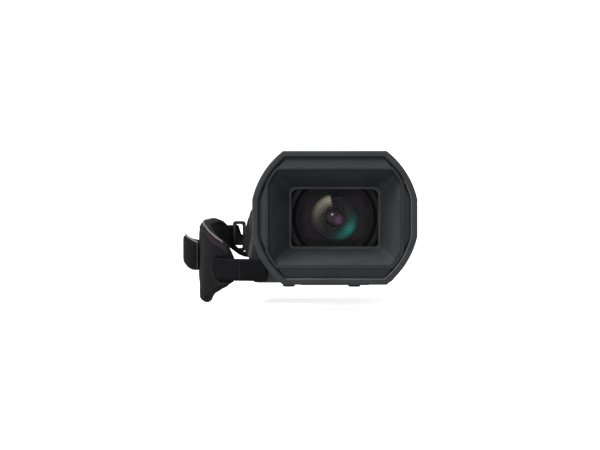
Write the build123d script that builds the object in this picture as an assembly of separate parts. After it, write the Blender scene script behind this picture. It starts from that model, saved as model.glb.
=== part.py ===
"""Handheld camcorder with a large lens hood, built as an assembly of separate pieces.

Units are millimetres. +X points to the display side, +Y to the viewfinder end, +Z up.
The lens looks along -Y. The origin is the mouth of the tripod socket, under the lens axis.
"""

from build123d import *
import math
import os

# ---------------------------------------------------------------- driving dimensions
LENS_Z = 52.0          # height of the optical axis above the base plate
HOOD_FRONT = -150.0    # front rim of the hood
HOOD_BEND = -106.0     # where the hood starts to close towards its collar
HOOD_REAR = -92.0
COLLAR_REAR = -84.0
HOOD_W, HOOD_H, HOOD_R = 116.0, 94.0, 59.4
BEND_W, BEND_H, BEND_R = 111.0, 92.0, 57.0
REAR_W, REAR_H, REAR_R = 86.0, 86.0, 44.0
HOOD_WALL = 2.2
LIP_WIDTH = 4.6
LIP_STEP = 2.4
RIDGE_W, RIDGE_H, RIDGE_R = 93.4, 67.4, 52.3
RIDGE_SET_BACK = 0.8
OPENING_W, OPENING_H = 62.6, 41.4
OPENING_TOP_R, OPENING_BOTTOM_R = 4.6, 2.6
OPENING_RIM = 1.4
MASK_FRONT, MASK_REAR = -114.0, -112.0

BARREL_FRONT = -106.0
BARREL_R, BARREL_BORE = 34.0, 32.0
CELL_R = BARREL_BORE - 0.3
FILTER_R, FILTER_DEPTH = 30.7, 4.0
FLANGE_R = 38.0
RING_BORE = BARREL_R + 0.06
FOCUS_Y = (-82.0, -57.0)
ZOOM_Y = (-55.5, -41.0)
RING_CORE_R, RING_R = 37.6, 40.0

BODY_FRONT, BODY_REAR = -38.0, 92.0
BODY_LEFT, BODY_RIGHT = -40.0, 47.0
BODY_BOTTOM, BODY_TOP = 2.0, 96.0
BEZEL_REAR = -30.0
REAR_PANEL = 78.0
SPLIT_X = 3.0
TOP_SPLIT_Z = 85.0
WALL = 2.4
SEAM = 0.25
SPARE = 0.1            # by how much a crossing outline passes the faces it leaves alone

GRIP_OUT = -67.0
GRIP_FRONT, GRIP_REAR = -24.0, 90.0
GRIP_TOP = 69.0

CHANNEL_X = (-21.0, 25.0)
CHANNEL_Y = 40.0
CHANNEL_Z = 64.0
BAY_X = (-20.5, 24.5)
BAY_Y = 49.0
BAY_Z = (7.0, 58.5)
BAY_WALL = 2.0

LCD_X, LCD_Y, LCD_Z = (47.5, 57.0), (-17.0, 72.0), (25.0, 80.0)
LCD_AXIS = (49.5, -24.0)         # x and y of the vertical hinge
LCD_ARM_R = 5.0
LCD_ARM_Z = (36.0, 69.0)

EVF_AXIS = (49.0, 84.0)          # y and z of the tilt axis
EVF_X, EVF_REAR, EVF_Z = (-19.5, 23.5), 98.0, (65.0, 99.0)
EVF_NOSE_R = 8.5
EYE_X, EYE_Z, EYE_BORE = 2.0, 82.0, 11.0
EYECUP_REAR = 112.0
DIOPTER_Y = 86.0

FOOT_R, FOOT_DROP = 4.6, 0.8
FEET_XY = ((-35.2, -24.8), (15.0, -24.8), (-35.2, 68.0), (36.0, 68.0))
SOCKET_R, SOCKET_DEPTH = 2.55, 6.0
BASE_X, BASE_Y = (-27.0, 27.0), (-18.0, 54.0)

SHOE_X, SHOE_Y = (-10.0, 12.0), (-8.0, 14.0)
BUTTON_YZ = ((-6.0, 17.5), (10.0, 17.5))
BUTTON_R = 3.8
WHEEL_YZ, WHEEL_R = (38.0, 17.5), 5.5
ND_YZ = (63.0, 17.5)
POWER_XZ = (34.0, 14.0)
LATCH_XZ = (-31.0, 32.0)
RECORD_XZ, RECORD_R = (-49.0, 47.0), 7.0
ROCKER_XY, ROCKER_Z = (-50.0, 14.0), 66.5
CARD_X, CARD_Z = (29.0, 42.5), (24.0, 74.0)
JACK_X, JACK_Z = (-56.5, -42.0), (8.0, 34.0)

PIN_R = 2.5
FRONT_PIN = (-59.0, -25.0, 13.0)  # the strap swings about the line through these two points
REAR_PIN = (-71.0, 86.0, 37.0)
BELT, CUSHION = 1.6, 6.0
FIT = 0.05                        # running clearance

PARTS = {}


# ---------------------------------------------------------------- helpers
def along_x(sketch, x0, x1):
    """Extrudes a sketch drawn in (y, z) from x0 to x1."""
    return extrude(Plane.YZ.offset(x0) * sketch, amount=x1 - x0)


def along_y(sketch, y0, y1):
    """Extrudes a sketch drawn in (x, z) from y0 to y1."""
    return extrude(Plane.XZ.offset(-y1) * sketch, amount=y1 - y0)


def along_z(sketch, z0, z1):
    """Extrudes a sketch drawn in (x, y) from z0 to z1."""
    return extrude(Plane.XY.offset(z0) * sketch, amount=z1 - z0)


def block(x, y, z):
    """A box given by its (low, high) along each axis."""
    size = [b - a for a, b in (x, y, z)]
    return Pos(*[(a + b) / 2 for a, b in (x, y, z)]) * Box(*size)


def outline(*corners):
    """A closed face from (u, v, radius) corners."""
    line = FilletPolyline(*[(u, v) for u, v, _ in corners], radius=[r for _, _, r in corners], close=True)
    return make_face(line)


def bar(u, v, radius):
    """A rectangle given by its (low, high) along both axes, with round corners."""
    return outline((u[0], v[0], radius), (u[1], v[0], radius), (u[1], v[1], radius), (u[0], v[1], radius))


def ring(outer, inner, y0, y1):
    """A tube around the lens axis."""
    return along_y(Pos(0, LENS_Z) * (Circle(outer) - Circle(inner)), y0, y1)


def disc(radius, y0, y1, x=0.0, z=LENS_Z):
    return along_y(Pos(x, z) * Circle(radius), y0, y1)


def clipped(width, height, radius):
    """A disc about the lens axis with its four sides cut flat."""
    return Pos(0, LENS_Z) * (Circle(radius) & Rectangle(width, height))


def loft_y(*sections):
    """A straight-sided solid through (sketch, y) sections drawn in (x, z)."""
    return loft([Plane.XZ.offset(-y) * sketch for sketch, y in sections], ruled=True)


def soften(shape, radius, *chosen):
    """Rounds the edges that every chosen test accepts."""
    edges = [e for e in shape.edges() if all(test(e) for test in chosen)]
    return fillet(edges, radius)


def keep(name, *solids):
    """Stores one node, made of one or more solids."""
    found = [s for shape in solids for s in shape.solids()]
    PARTS[name] = found[0] if len(found) == 1 else Compound(children=found)
    return PARTS[name]


# ---------------------------------------------------------------- lens hood
def hood_section(y, inset=0.0):
    """The hood's outline at one station, between its rim, its bend and its collar."""
    stations = [
        (HOOD_FRONT, HOOD_W, HOOD_H, HOOD_R),
        (HOOD_BEND, BEND_W, BEND_H, BEND_R),
        (HOOD_REAR, REAR_W, REAR_H, REAR_R),
    ]
    for (y0, *size0), (y1, *size1) in zip(stations, stations[1:]):
        if y <= y1:
            share = (y - y0) / (y1 - y0)
            width, height, radius = [a + share * (b - a) for a, b in zip(size0, size1)]
            return clipped(width - 2 * inset, height - 2 * inset, radius - inset)
    return clipped(REAR_W - 2 * inset, REAR_H - 2 * inset, REAR_R - inset)


def hood_loft(y0, y1, inset=0.0):
    return loft_y((hood_section(y0, inset), y0), (hood_section(y1, inset), y1))


def hood_shell():
    collar_bore = FLANGE_R + 0.1
    outer = hood_loft(HOOD_FRONT, HOOD_BEND) + hood_loft(HOOD_BEND, HOOD_REAR)
    outer += ring(REAR_R - 1.0, collar_bore, HOOD_REAR - 1.0, COLLAR_REAR)
    outer = soften(outer, 1.2, lambda e: abs(e.center().Y - HOOD_FRONT) < 0.01)
    lip_foot = HOOD_FRONT + LIP_STEP
    lip_bevel = loft_y(
        (hood_section(HOOD_FRONT, LIP_WIDTH - 0.9), HOOD_FRONT - 0.01),
        (hood_section(HOOD_FRONT, LIP_WIDTH), HOOD_FRONT + 1.2),
    )
    inner = lip_bevel + hood_loft(HOOD_FRONT, lip_foot + 0.1, LIP_WIDTH)
    inner += hood_loft(lip_foot, HOOD_BEND, HOOD_WALL)
    inner += hood_loft(HOOD_BEND, HOOD_REAR - 2.0, HOOD_WALL)
    inner += disc(collar_bore, HOOD_REAR - 6.0, COLLAR_REAR + 1.0)
    return outer - inner


def opening_face(width, height, grow=0.0):
    """The picture-shaped opening: soft upper corners, tighter lower ones."""
    half_w, half_h = width / 2, height / 2
    return Pos(0, LENS_Z) * outline(
        (-half_w, -half_h, OPENING_BOTTOM_R + grow),
        (half_w, -half_h, OPENING_BOTTOM_R + grow),
        (half_w, half_h, OPENING_TOP_R + grow),
        (-half_w, half_h, OPENING_TOP_R + grow),
    )


def funnel(thickness):
    """The tapered passage from the ridge to the opening's rim, thicker for the outside of its wall."""
    grow = 2 * thickness
    ridge_y = HOOD_FRONT + RIDGE_SET_BACK
    wide = Pos(0, LENS_Z) * bar_face(RIDGE_W + grow, RIDGE_H + grow, 1.5)
    narrow = opening_face(OPENING_W + 2 * OPENING_RIM + grow, OPENING_H + 2 * OPENING_RIM + grow)
    passage = loft_y((wide, ridge_y), (narrow, MASK_FRONT))
    return passage & disc(RIDGE_R + thickness, HOOD_FRONT, MASK_REAR)


def bar_face(width, height, radius):
    return bar((-width / 2, width / 2), (-height / 2, height / 2), radius)


def shutter_rail(side):
    """L-shaped guide that holds the edges of both shutters, left (-1) or right (1)."""
    height = (LENS_Z - 36, LENS_Z + 36)
    web = block(sorted((side * 34.5, side * 37)), (MASK_REAR, MASK_REAR + 4.2), height)
    return web + block(sorted((side * 32, side * 37)), (MASK_REAR + 3.4, MASK_REAR + 4.2), height)


def hood_frame():
    wall = 1.8
    land = 0.6
    foot = HOOD_FRONT + LIP_STEP + 0.1
    ridge = clipped(RIDGE_W + 2 * land, RIDGE_H + 2 * land, RIDGE_R + land)
    band = loft_y((ridge, HOOD_FRONT + RIDGE_SET_BACK), (hood_section(foot, LIP_WIDTH + 0.1), foot))
    plate = hood_loft(foot, foot + 2.0, HOOD_WALL + 0.1)
    bulkhead = hood_loft(MASK_FRONT, MASK_REAR, HOOD_WALL + 0.1)
    frame = band + plate + funnel(wall) + bulkhead
    for side in (-1, 1):
        frame += shutter_rail(side)
    frame -= funnel(0.0)
    frame -= along_y(opening_face(OPENING_W, OPENING_H), MASK_FRONT - 1, MASK_REAR + 1)
    return frame


def shutter(side, slot_y):
    """One half of the lens cover: a thin plate parked above (side 1) or below (-1) the opening."""
    near, far = 21.1 * side, 42.4 * side
    face = Pos(0, LENS_Z) * outline((-33.5, near, 0.5), (33.5, near, 0.5), (33.5, far, 4.0), (-33.5, far, 4.0))
    return along_y(face, slot_y, slot_y + 1.1)


LEVER_Y, LEVER_Z = HOOD_BEND - 2.0, LENS_Z - 8.0
LEVER_FACE = -BEND_W / 2 - 0.6
LEVER_TRAVEL = 12.0


def shutter_lever():
    """Sliding lever for the shutters: a finger bar hanging from a round foot, leaning away from the hood."""
    foot = along_x(Pos(LEVER_Y, LEVER_Z) * Circle(4.6), LEVER_FACE - 2.6, LEVER_FACE)
    shaft = along_x(Pos(LEVER_Y, LEVER_Z) * Circle(1.9), LEVER_FACE - 0.5, LEVER_FACE + 5.0)
    x = LEVER_FACE
    arm = outline((x, LEVER_Z - 2, 0.4), (x, LEVER_Z + 2, 0.4), (x - 2.6, LEVER_Z + 2, 0.8),
                  (x - 6.6, LEVER_Z - 20, 1.2), (x - 3.8, LEVER_Z - 21, 1.0))
    arm = soften(along_y(arm, LEVER_Y - 3.2, LEVER_Y + 3.2), 0.6, lambda e: e.center().X < x - 2)
    return foot + arm + shaft


def lever_slot():
    """Slot in the side of the hood that the lever's shaft runs up."""
    half = 1.9 + FIT
    slot = bar((-half, half), (-half, LEVER_TRAVEL + half), 1.9)
    return along_x(Pos(LEVER_Y, LEVER_Z) * slot, -70, -40)


RELEASE_Y, RELEASE_FACE = -99.0, REAR_R + 4.5


def release_shape(grow, x0, x1):
    face = Pos(RELEASE_Y, LENS_Z) * bar((-3 - grow, 3 + grow), (-7 - grow, 7 + grow), 2.5)
    return along_x(face, x0, x1)


def build_hood():
    shell = hood_shell()
    shell -= lever_slot()
    boss = release_shape(2.0, REAR_R - 5.0, RELEASE_FACE - 0.9)
    shell = shell + boss - release_shape(0.1, REAR_R - 6.0, 70)
    keep("hood_shell", shell)
    keep("hood_frame", hood_frame())
    keep("shutter_lever", shutter_lever())
    button = release_shape(0.0, RELEASE_FACE - 7.0, RELEASE_FACE)
    keep("hood_release", soften(button, 0.6, lambda e: e.center().X > RELEASE_FACE - 0.1))
    keep("upper_shutter", shutter(1, MASK_REAR + 0.4))
    keep("lower_shutter", shutter(-1, MASK_REAR + 1.8))


# ---------------------------------------------------------------- lens
def glass_arc(radius, middle_y, sag):
    """Arc from the axis to the rim of a glass whose rim lies sag behind its middle."""
    curve = (radius ** 2 + sag ** 2) / (2 * abs(sag))
    half = curve - math.sqrt(curve ** 2 - radius ** 2 / 4)
    return ThreePointArc((0, middle_y), (radius / 2, middle_y + math.copysign(half, sag)), (radius, middle_y + sag))


def lens_element(radius, front_y, front_sag, back_y, back_sag):
    """A turned glass given by where its faces meet the axis and how far their rims lie behind that."""
    front = glass_arc(radius, front_y, front_sag)
    back = glass_arc(radius, back_y, back_sag)
    rim = Line((radius, front_y + front_sag), (radius, back_y + back_sag))
    face = make_face([Line((0, front_y), (0, back_y)), back, rim, front])
    return Pos(0, 0, LENS_Z) * revolve(face, Axis.Y, 360)


def turned(points):
    """A ring turned about the lens axis from its (radius, y) section."""
    return Pos(0, 0, LENS_Z) * revolve(make_face(Polyline(*points, close=True)), Axis.Y, 360)


def lens_barrel():
    tube = ring(BARREL_R, BARREL_BORE, BARREL_FRONT, -14.0)
    flange = ring(FLANGE_R, BARREL_R - 0.5, -96.0, -84.0)
    flange = soften(flange, 0.5, lambda e: e.geom_type == GeomType.CIRCLE and abs(e.radius - FLANGE_R) < 0.01)
    thread = ring(BARREL_R - 0.5, FILTER_R, BARREL_FRONT, BARREL_FRONT + FILTER_DEPTH)
    stop = ring(BARREL_R + 2.0, BARREL_R - 0.5, -39.5, -36.0)
    return tube + flange + thread + stop


def build_lens():
    keep("lens_barrel", lens_barrel())
    front_cell = turned([(CELL_R, -98.5), (28.0, -100.8), (27.4, -100.8), (27.4, -99.0), (28.6, -98.5),
                         (28.6, -94.0), (17.6, -91.5), (17.6, -89.5), (CELL_R, -89.5)])
    inner_cell = turned([(CELL_R, -89.4), (17.5, -89.4), (17.5, -83.5), (8.4, -74.0), (8.4, -72.0),
                         (CELL_R, -72.0)])
    keep("lens_ring", front_cell, inner_cell)
    keep("front_glass", lens_element(28.5, -101.6, 4.2, -93.0, -2.0))
    keep("second_glass", lens_element(17.4, -91.0, 3.6, -86.5, 2.0))
    rods = [disc(1.2, -72.0, -30.0, x=side * 25.0) for side in (-1, 1)]
    keep("guide_rods", *rods)
    carriage = ring(28.5, 12.0, -69.0, -63.0) + ring(13.5, 12.0, -70.5, -60.0)
    for side in (-1, 1):
        carriage -= disc(1.2 + FIT, -75.0, -55.0, x=side * 25.0)
    keep("zoom_carriage", carriage)
    keep("zoom_glass", lens_element(11.95, -70.4, 3.0, -61.5, -1.5))
    iris = ring(CELL_R, 6.0, -34.0, -27.0) + ring(CELL_R, 13.05, -27.0, -19.0)
    for side in (-1, 1):
        iris -= disc(1.2, -35.0, -30.0, x=side * 25.0)
    keep("iris_unit", iris)
    keep("rear_glass", lens_element(13.0, -27.0, 2.0, -20.0, -2.0))


def grip_ring(core_y, teeth, tooth_share, band_y):
    """Core tube and ribbed rubber band of one control ring."""
    y0, y1 = core_y
    core = ring(RING_CORE_R, RING_BORE, y0, y1) + ring(RING_R - 0.6, RING_BORE, y0, band_y[0] - 0.1)
    core += ring(RING_R - 0.6, RING_BORE, band_y[1] + 0.1, y1)
    pitch = 2 * math.pi * RING_R / teeth
    band = Pos(0, LENS_Z) * (Circle(RING_R) - Circle(RING_CORE_R + 0.02))
    notch = Rectangle(1.6, pitch * (1 - tooth_share))
    grooves = Sketch() + [Pos(0, LENS_Z) * loc * notch for loc in PolarLocations(RING_R, teeth)]
    ribbed = along_y(band - grooves, band_y[0] + 1.2, band_y[1] - 1.2)
    hems = along_y(band, band_y[0], band_y[0] + 1.2) + along_y(band, band_y[1] - 1.2, band_y[1])
    return core, ribbed + hems


def build_rings():
    y0, y1 = FOCUS_Y
    core, band = grip_ring(FOCUS_Y, 72, 0.62, (y0 + 3.0, y1 - 4.0))
    keep("focus_ring", core)
    keep("focus_grip", band)
    y0, y1 = ZOOM_Y
    core, band = grip_ring(ZOOM_Y, 48, 0.55, (y0 + 2.5, y1 - 3.0))
    keep("zoom_ring", core)
    keep("zoom_grip", band)


# ---------------------------------------------------------------- casing
def main_form(inset=0.0):
    """The lens and electronics housing: a crowned section, a stepped top line and a plan with soft corners."""
    section = outline((BODY_LEFT, BODY_BOTTOM, 5), (BODY_RIGHT, BODY_BOTTOM, 9), (BODY_RIGHT, 83, 9),
                      (28, BODY_TOP, 12), (-24, BODY_TOP, 12), (BODY_LEFT, 83, 9))
    low, high = BODY_BOTTOM - SPARE, BODY_TOP + SPARE
    side = outline((BODY_FRONT, low, 3), (BODY_REAR, low, 5), (BODY_REAR, 85, 7),
                   (44, 88, 30), (24, high, 30), (BODY_FRONT, high, 3))
    left, right = BODY_LEFT - SPARE, BODY_RIGHT + SPARE
    front, rear = BODY_FRONT - SPARE, BODY_REAR + SPARE
    plan = outline((left, front, 3), (39, front, 6), (right, -31, 5), (right, rear, 4), (left, rear, 3))
    return three_way(section, side, plan, inset)


def grip_form(inset=0.0):
    """The hand side: round at the front for the fingers, low at the rear for the thumb."""
    section = outline((-30, BODY_BOTTOM, 0.5), (-30, GRIP_TOP + 2, 0.5), (-50, GRIP_TOP, 8),
                      (GRIP_OUT, 58, 13), (GRIP_OUT, BODY_BOTTOM, 7))
    low, high = BODY_BOTTOM - SPARE, GRIP_TOP + 2 + SPARE
    side = outline((GRIP_FRONT, low, 5), (GRIP_REAR, low, 5), (GRIP_REAR, 61, 9),
                   (62, high, 20), (-4, high, 16), (GRIP_FRONT, 58, 12))
    left, right = GRIP_OUT - SPARE, -30 + SPARE
    front, rear = GRIP_FRONT - SPARE, GRIP_REAR + SPARE
    plan = outline((right, front, 0.5), (right, rear, 0.5), (-61, rear, 5), (left, 66, 22),
                   (left, -4, 18), (-55, front, 10))
    return three_way(section, side, plan, inset)


def three_way(section, side, plan, inset):
    """The solid that shows the given outlines from the front, the side and above."""
    if inset:
        section, side, plan = [offset(f, -inset, kind=Kind.INTERSECTION) for f in (section, side, plan)]
    return along_y(section, -60, 120) & along_x(side, -90, 90) & along_z(plan, -20, 120)


def half_space(axis, low, high):
    """A slab that is open on the other two axes."""
    spans = {"x": (-200, 200), "y": (-200, 200), "z": (-200, 200)}
    spans[axis] = (low, high)
    return block(spans["x"], spans["y"], spans["z"])


def channel(grow=0.0):
    """Space for the viewfinder, open at the top and the rear."""
    return block((CHANNEL_X[0] - grow, CHANNEL_X[1] + grow), (CHANNEL_Y - grow, 130), (CHANNEL_Z - grow, 130))


def bay(grow=0.0):
    """Space for the battery, open at the rear."""
    shape = bar((BAY_X[0] - grow, BAY_X[1] + grow), (BAY_Z[0] - grow, BAY_Z[1] + grow), 3.0 + grow)
    return along_y(shape, BAY_Y - grow, 130)


def case_walls():
    outer = main_form() + grip_form()
    outer = soften(outer, 1.0, lambda e: abs(e.center().Y - BODY_REAR) < 0.01)
    walls = outer - main_form(WALL) - grip_form(WALL)
    return outer, walls


def hinge_ear(z0, z1):
    """One of the two knuckles that carry the display's hinge pins."""
    knuckle = along_z(Pos(*LCD_AXIS) * Circle(LCD_ARM_R), z0, z1)
    return knuckle - along_z(Pos(*LCD_AXIS) * Circle(1.5 + FIT), z0 - 1, z1 + 1)


def hinge_cup():
    return along_z(Pos(*LCD_AXIS) * Circle(LCD_ARM_R + 3), LCD_ARM_Z[0] - 3, LCD_ARM_Z[1] + 3)


def hinge_pocket():
    shape = Circle(LCD_ARM_R + 0.6)
    return along_z(Pos(*LCD_AXIS) * shape, LCD_ARM_Z[0] - 0.1, LCD_ARM_Z[1] + 0.1)


def rocker_well(grow=0.0):
    """Pocket in the top of the grip for the zoom rocker."""
    x, y = ROCKER_XY
    return block((x - 7.3 - grow, x + 7.3 + grow), (y - 15.3 - grow, y + 15.3 + grow), (62.5 - grow, 80))


def wheel_cup():
    y, z = WHEEL_YZ
    cup = Pos(y, z) * Circle(WHEEL_R + 1.6)
    return along_x(cup, BODY_RIGHT - 6.0, BODY_RIGHT - WALL + 0.2)


def build_case():
    outer, walls = case_walls()
    bezel = outer & half_space("y", -200, BEZEL_REAR)
    bezel -= disc(42.0, BODY_FRONT - 1, BODY_FRONT + 3.0)
    keep("front_bezel", bezel - disc(BARREL_R + 2.1, BODY_FRONT - 1, BEZEL_REAR + 1))

    room = half_space("y", BEZEL_REAR + SEAM, REAR_PANEL)
    body = walls & room
    body += hinge_cup() & main_form() & room
    body += rocker_well(2.0) & grip_form()
    body -= channel(2.3)
    body -= bay(BAY_WALL + 0.3)
    body -= along_z(bar(BASE_X, BASE_Y, 4.0), -1, 3.1)
    body -= along_z(Circle(5.0), -1, 6)
    for x, y in FEET_XY:
        body -= along_z(Pos(x, y) * Circle(FOOT_R + 0.05), 0, 3.0)
    for x, y in base_screw_places():
        body -= along_z(Pos(x, y) * Circle(1.25), 0, 7)
    top_zone = block((-60, 60), (BEZEL_REAR, CHANNEL_Y - 2.4), (TOP_SPLIT_Z, 120))
    keep("top_cover", cut_top(body & top_zone))
    top_gap = block((-60, 60), (BEZEL_REAR - 1, CHANNEL_Y - 2.4 + SEAM), (TOP_SPLIT_Z - SEAM, 120))
    lower = body - top_gap
    keep("left_shell", left_details(lower & half_space("x", SPLIT_X + SEAM, 200)))
    keep("right_shell", right_details(lower & half_space("x", -200, SPLIT_X)))
    keep("rear_frame", rear_details(rear_block(outer)))
    keep("evf_cradle", cradle(outer))
    keep("grip_pad", finger_pad())


def rear_block(outer):
    """Rear panel with the battery bay's sleeve growing forward from it."""
    tail = outer & half_space("y", REAR_PANEL + SEAM, 200)
    tail -= main_form(WALL + 1.0) & half_space("y", -200, BODY_REAR - 4)
    tail -= grip_form(WALL + 1.0) & half_space("y", -200, GRIP_REAR - 4)
    sleeve = (bay(BAY_WALL) - bay()) & half_space("y", 0, BODY_REAR - 2)
    back_wall = bay(BAY_WALL) & half_space("y", 0, BAY_Y)
    return (tail - bay()) + sleeve + back_wall - channel(2.3)


def cradle(outer):
    """Tray that the viewfinder lies in, with ears for its pins."""
    tray = (channel(2.0) - channel()) & outer & half_space("y", 0, BODY_REAR - 0.4)
    return tray - along_x(Pos(*EVF_AXIS) * Circle(2.0 + FIT), -30, 30)


def pad_slab(depth):
    skin = grip_form() - grip_form(depth)
    return skin & along_x(bar((4, 60), (12, 50), 8.0), -80, -61)


def finger_pad():
    """Thin rubber sheet let into the grip where the palm lies."""
    return pad_slab(1.0)


def mic_window(side, grow, z0, z1):
    """Rounded microphone window at the front of the top cover, left (-1) or right (1)."""
    face = bar((-7.5 - grow, 7.5 + grow), (-5 - grow, 5 + grow), 3.0)
    return along_z(Pos(2 + side * 12, -21) * face, z0, z1)


def cut_top(cover):
    """Shoe seat and microphone windows in the top cover."""
    cover -= block(SHOE_X, SHOE_Y, (BODY_TOP - 1.2, BODY_TOP + 5))
    for side in (-1, 1):
        cover -= mic_window(side, 0.1, BODY_TOP - 1.0, BODY_TOP + 5)
    return cover


def board_post(x, y):
    return along_z(Pos(x, y) * Circle(2.5), BODY_BOTTOM + WALL - 0.2, BOARD_Z[0])


BOARD_X, BOARD_Y, BOARD_Z = (-34.0, 38.0), (-22.0, 44.0), (7.2, 8.8)


def left_details(shell):
    """Display side: hinge knuckles, button and wheel holes, filter switch track, board posts."""
    shell += wheel_cup()
    shell += hinge_ear(LCD_ARM_Z[0] - 7, LCD_ARM_Z[0] - 0.1)
    shell += hinge_ear(LCD_ARM_Z[1] + 0.1, LCD_ARM_Z[1] + 7)
    shell -= hinge_pocket()
    shell -= along_z(Pos(*LCD_AXIS) * Circle(1.5 + FIT), LCD_ARM_Z[0] - 6, LCD_ARM_Z[1] + 6)
    shell -= block((BODY_RIGHT - 2.5, 62), (LCD_AXIS[1], LCD_Y[0] + 1), (LCD_ARM_Z[0] - 0.5, LCD_ARM_Z[1] + 0.5))
    for y, z in BUTTON_YZ:
        shell -= along_x(Pos(y, z) * Circle(BUTTON_R + 0.15), 40, 60)
    shell -= along_x(Pos(*WHEEL_YZ) * Circle(WHEEL_R + 0.2), BODY_RIGHT - 4.5, 60)
    shell -= along_x(Pos(*WHEEL_YZ) * Circle(1.5 + FIT), 35, 60)
    shell -= along_x(Pos(*ND_YZ) * bar((-8.5, 8.5), (-3.2, 3.2), 1.5), BODY_RIGHT - 0.8, 60)
    shell -= along_x(Pos(*ND_YZ) * bar((-6.5, 6.5), (-1.2, 1.2), 0.6), 40, 60)
    for y in (BOARD_Y[0] + 4, BOARD_Y[1] - 4):
        shell += board_post(BOARD_X[1] - 4, y)
    return shell


def right_details(shell):
    """Hand side: rocker well, palm pad seat, strap lug seats, board posts."""
    shell -= rocker_well()
    x, y = ROCKER_XY
    shell -= along_x(Pos(y, ROCKER_Z) * Circle(1.2 + FIT), x - 9.0, x + 9.0)
    shell -= pad_slab(1.05)
    for lug in (front_lug(), rear_lug()):
        shell -= lug
    for y in (BOARD_Y[0] + 4, BOARD_Y[1] - 4):
        shell += board_post(BOARD_X[0] + 4, y)
    return shell


def shrink(span, by):
    return (span[0] + by, span[1] - by)


def rear_details(panel):
    """Record button hole, door recesses, power switch and latch slots in the rear panel."""
    x, z = RECORD_XZ
    panel -= disc(RECORD_R + 0.15, GRIP_REAR - 20, GRIP_REAR + 5, x=x, z=z)
    panel -= along_y(bar(CARD_X, CARD_Z, 0.3), BODY_REAR - 2.4, BODY_REAR + 5)
    panel -= along_y(bar(JACK_X, JACK_Z, 0.3), GRIP_REAR - 2.4, GRIP_REAR + 5)
    panel -= along_y(bar(shrink(JACK_X, 2), shrink(JACK_Z, 2.5), 2.0), GRIP_REAR - 9, GRIP_REAR)
    panel -= along_y(bar(shrink(CARD_X, 2), shrink(CARD_Z, 2.5), 2.0), BODY_REAR - 9, BODY_REAR)
    for x, y, span in ((JACK_X[0] + 1.4, GRIP_REAR - 1.2, JACK_Z), (CARD_X[1] - 1.4, BODY_REAR - 1.2, CARD_Z)):
        panel -= along_z(Pos(x, y) * Circle(0.6 + FIT), span[0] - 1.6, span[1] + 1.6)
    panel -= slider_room(POWER_XZ, 0)
    panel -= slider_room(LATCH_XZ, 90)
    return panel


def slider_room(place, turn):
    """Shallow recess with a slot through it for a sliding button in the rear panel."""
    x, z = place
    recess = along_y(Pos(x, z) * Rot(0, 0, turn) * bar((-7, 7), (-2.7, 2.7), 2.5), BODY_REAR - 1.0, BODY_REAR + 5)
    slot = along_y(Pos(x, z) * Rot(0, 0, turn) * bar((-5.2, 5.2), (-1.1, 1.1), 0.5), BODY_REAR - 20, BODY_REAR)
    return recess + slot


def base_screw_places():
    return [(x, y) for x in (BASE_X[0] + 5, BASE_X[1] - 5) for y in (BASE_Y[0] + 5, BASE_Y[1] - 5)]


def build_base():
    plate = along_z(bar(shrink(BASE_X, 0.1), shrink(BASE_Y, 0.1), 3.9), 0, 3.1)
    plate -= along_z(Circle(5.0), -1, 5)
    screws = []
    for x, y in base_screw_places():
        plate -= along_z(Pos(x, y) * Circle(2.6), -1, 1.7)
        plate -= along_z(Pos(x, y) * Circle(1.25), 0, 5)
        head = along_z(Pos(x, y) * Circle(2.5), 0.3, 1.7) - along_z(Pos(x, y) * Rectangle(2.6, 0.5), 0, 0.8)
        screws.append(head + along_z(Pos(x, y) * Circle(1.25), 1.6, 4.8))
    keep("base_plate", plate)
    keep("case_screws", *screws)
    bush = along_z(Circle(5.0), 0, 4.4) + along_z(Circle(6.6), 4.4, 7.0)
    keep("tripod_bush", bush - along_z(Circle(SOCKET_R), -1, SOCKET_DEPTH))
    feet = [along_z(Pos(x, y) * Circle(FOOT_R), -FOOT_DROP, 3.0) for x, y in FEET_XY]
    keep("rubber_feet", *[soften(f, 0.5, lambda e: e.center().Z < -0.7) for f in feet])


def build_top():
    plate = block(SHOE_X, SHOE_Y, (BODY_TOP - 1.2, BODY_TOP + 0.3))
    x0, x1 = SHOE_X
    for side, x in ((1, x0), (-1, x1)):
        plate += block(sorted((x, x + side * 1.7)), SHOE_Y, (BODY_TOP, BODY_TOP + 4.0))
        plate += block(sorted((x, x + side * 4.7)), SHOE_Y, (BODY_TOP + 2.5, BODY_TOP + 4.0))
    plate += block((x0, x1), (SHOE_Y[0], SHOE_Y[0] + 1.6), (BODY_TOP, BODY_TOP + 2.0))
    keep("accessory_shoe", plate)
    pads = []
    for side in (-1, 1):
        pad = mic_window(side, 0.0, BODY_TOP - 1.0, BODY_TOP + 0.5)
        for y in range(-24, -17, 2):
            pad -= block((2 + side * 12 - 5.5, 2 + side * 12 + 5.5), (y, y + 0.9), (BODY_TOP - 0.2, BODY_TOP + 1))
        pads.append(pad)
    keep("mic_grilles", *pads)


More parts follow.
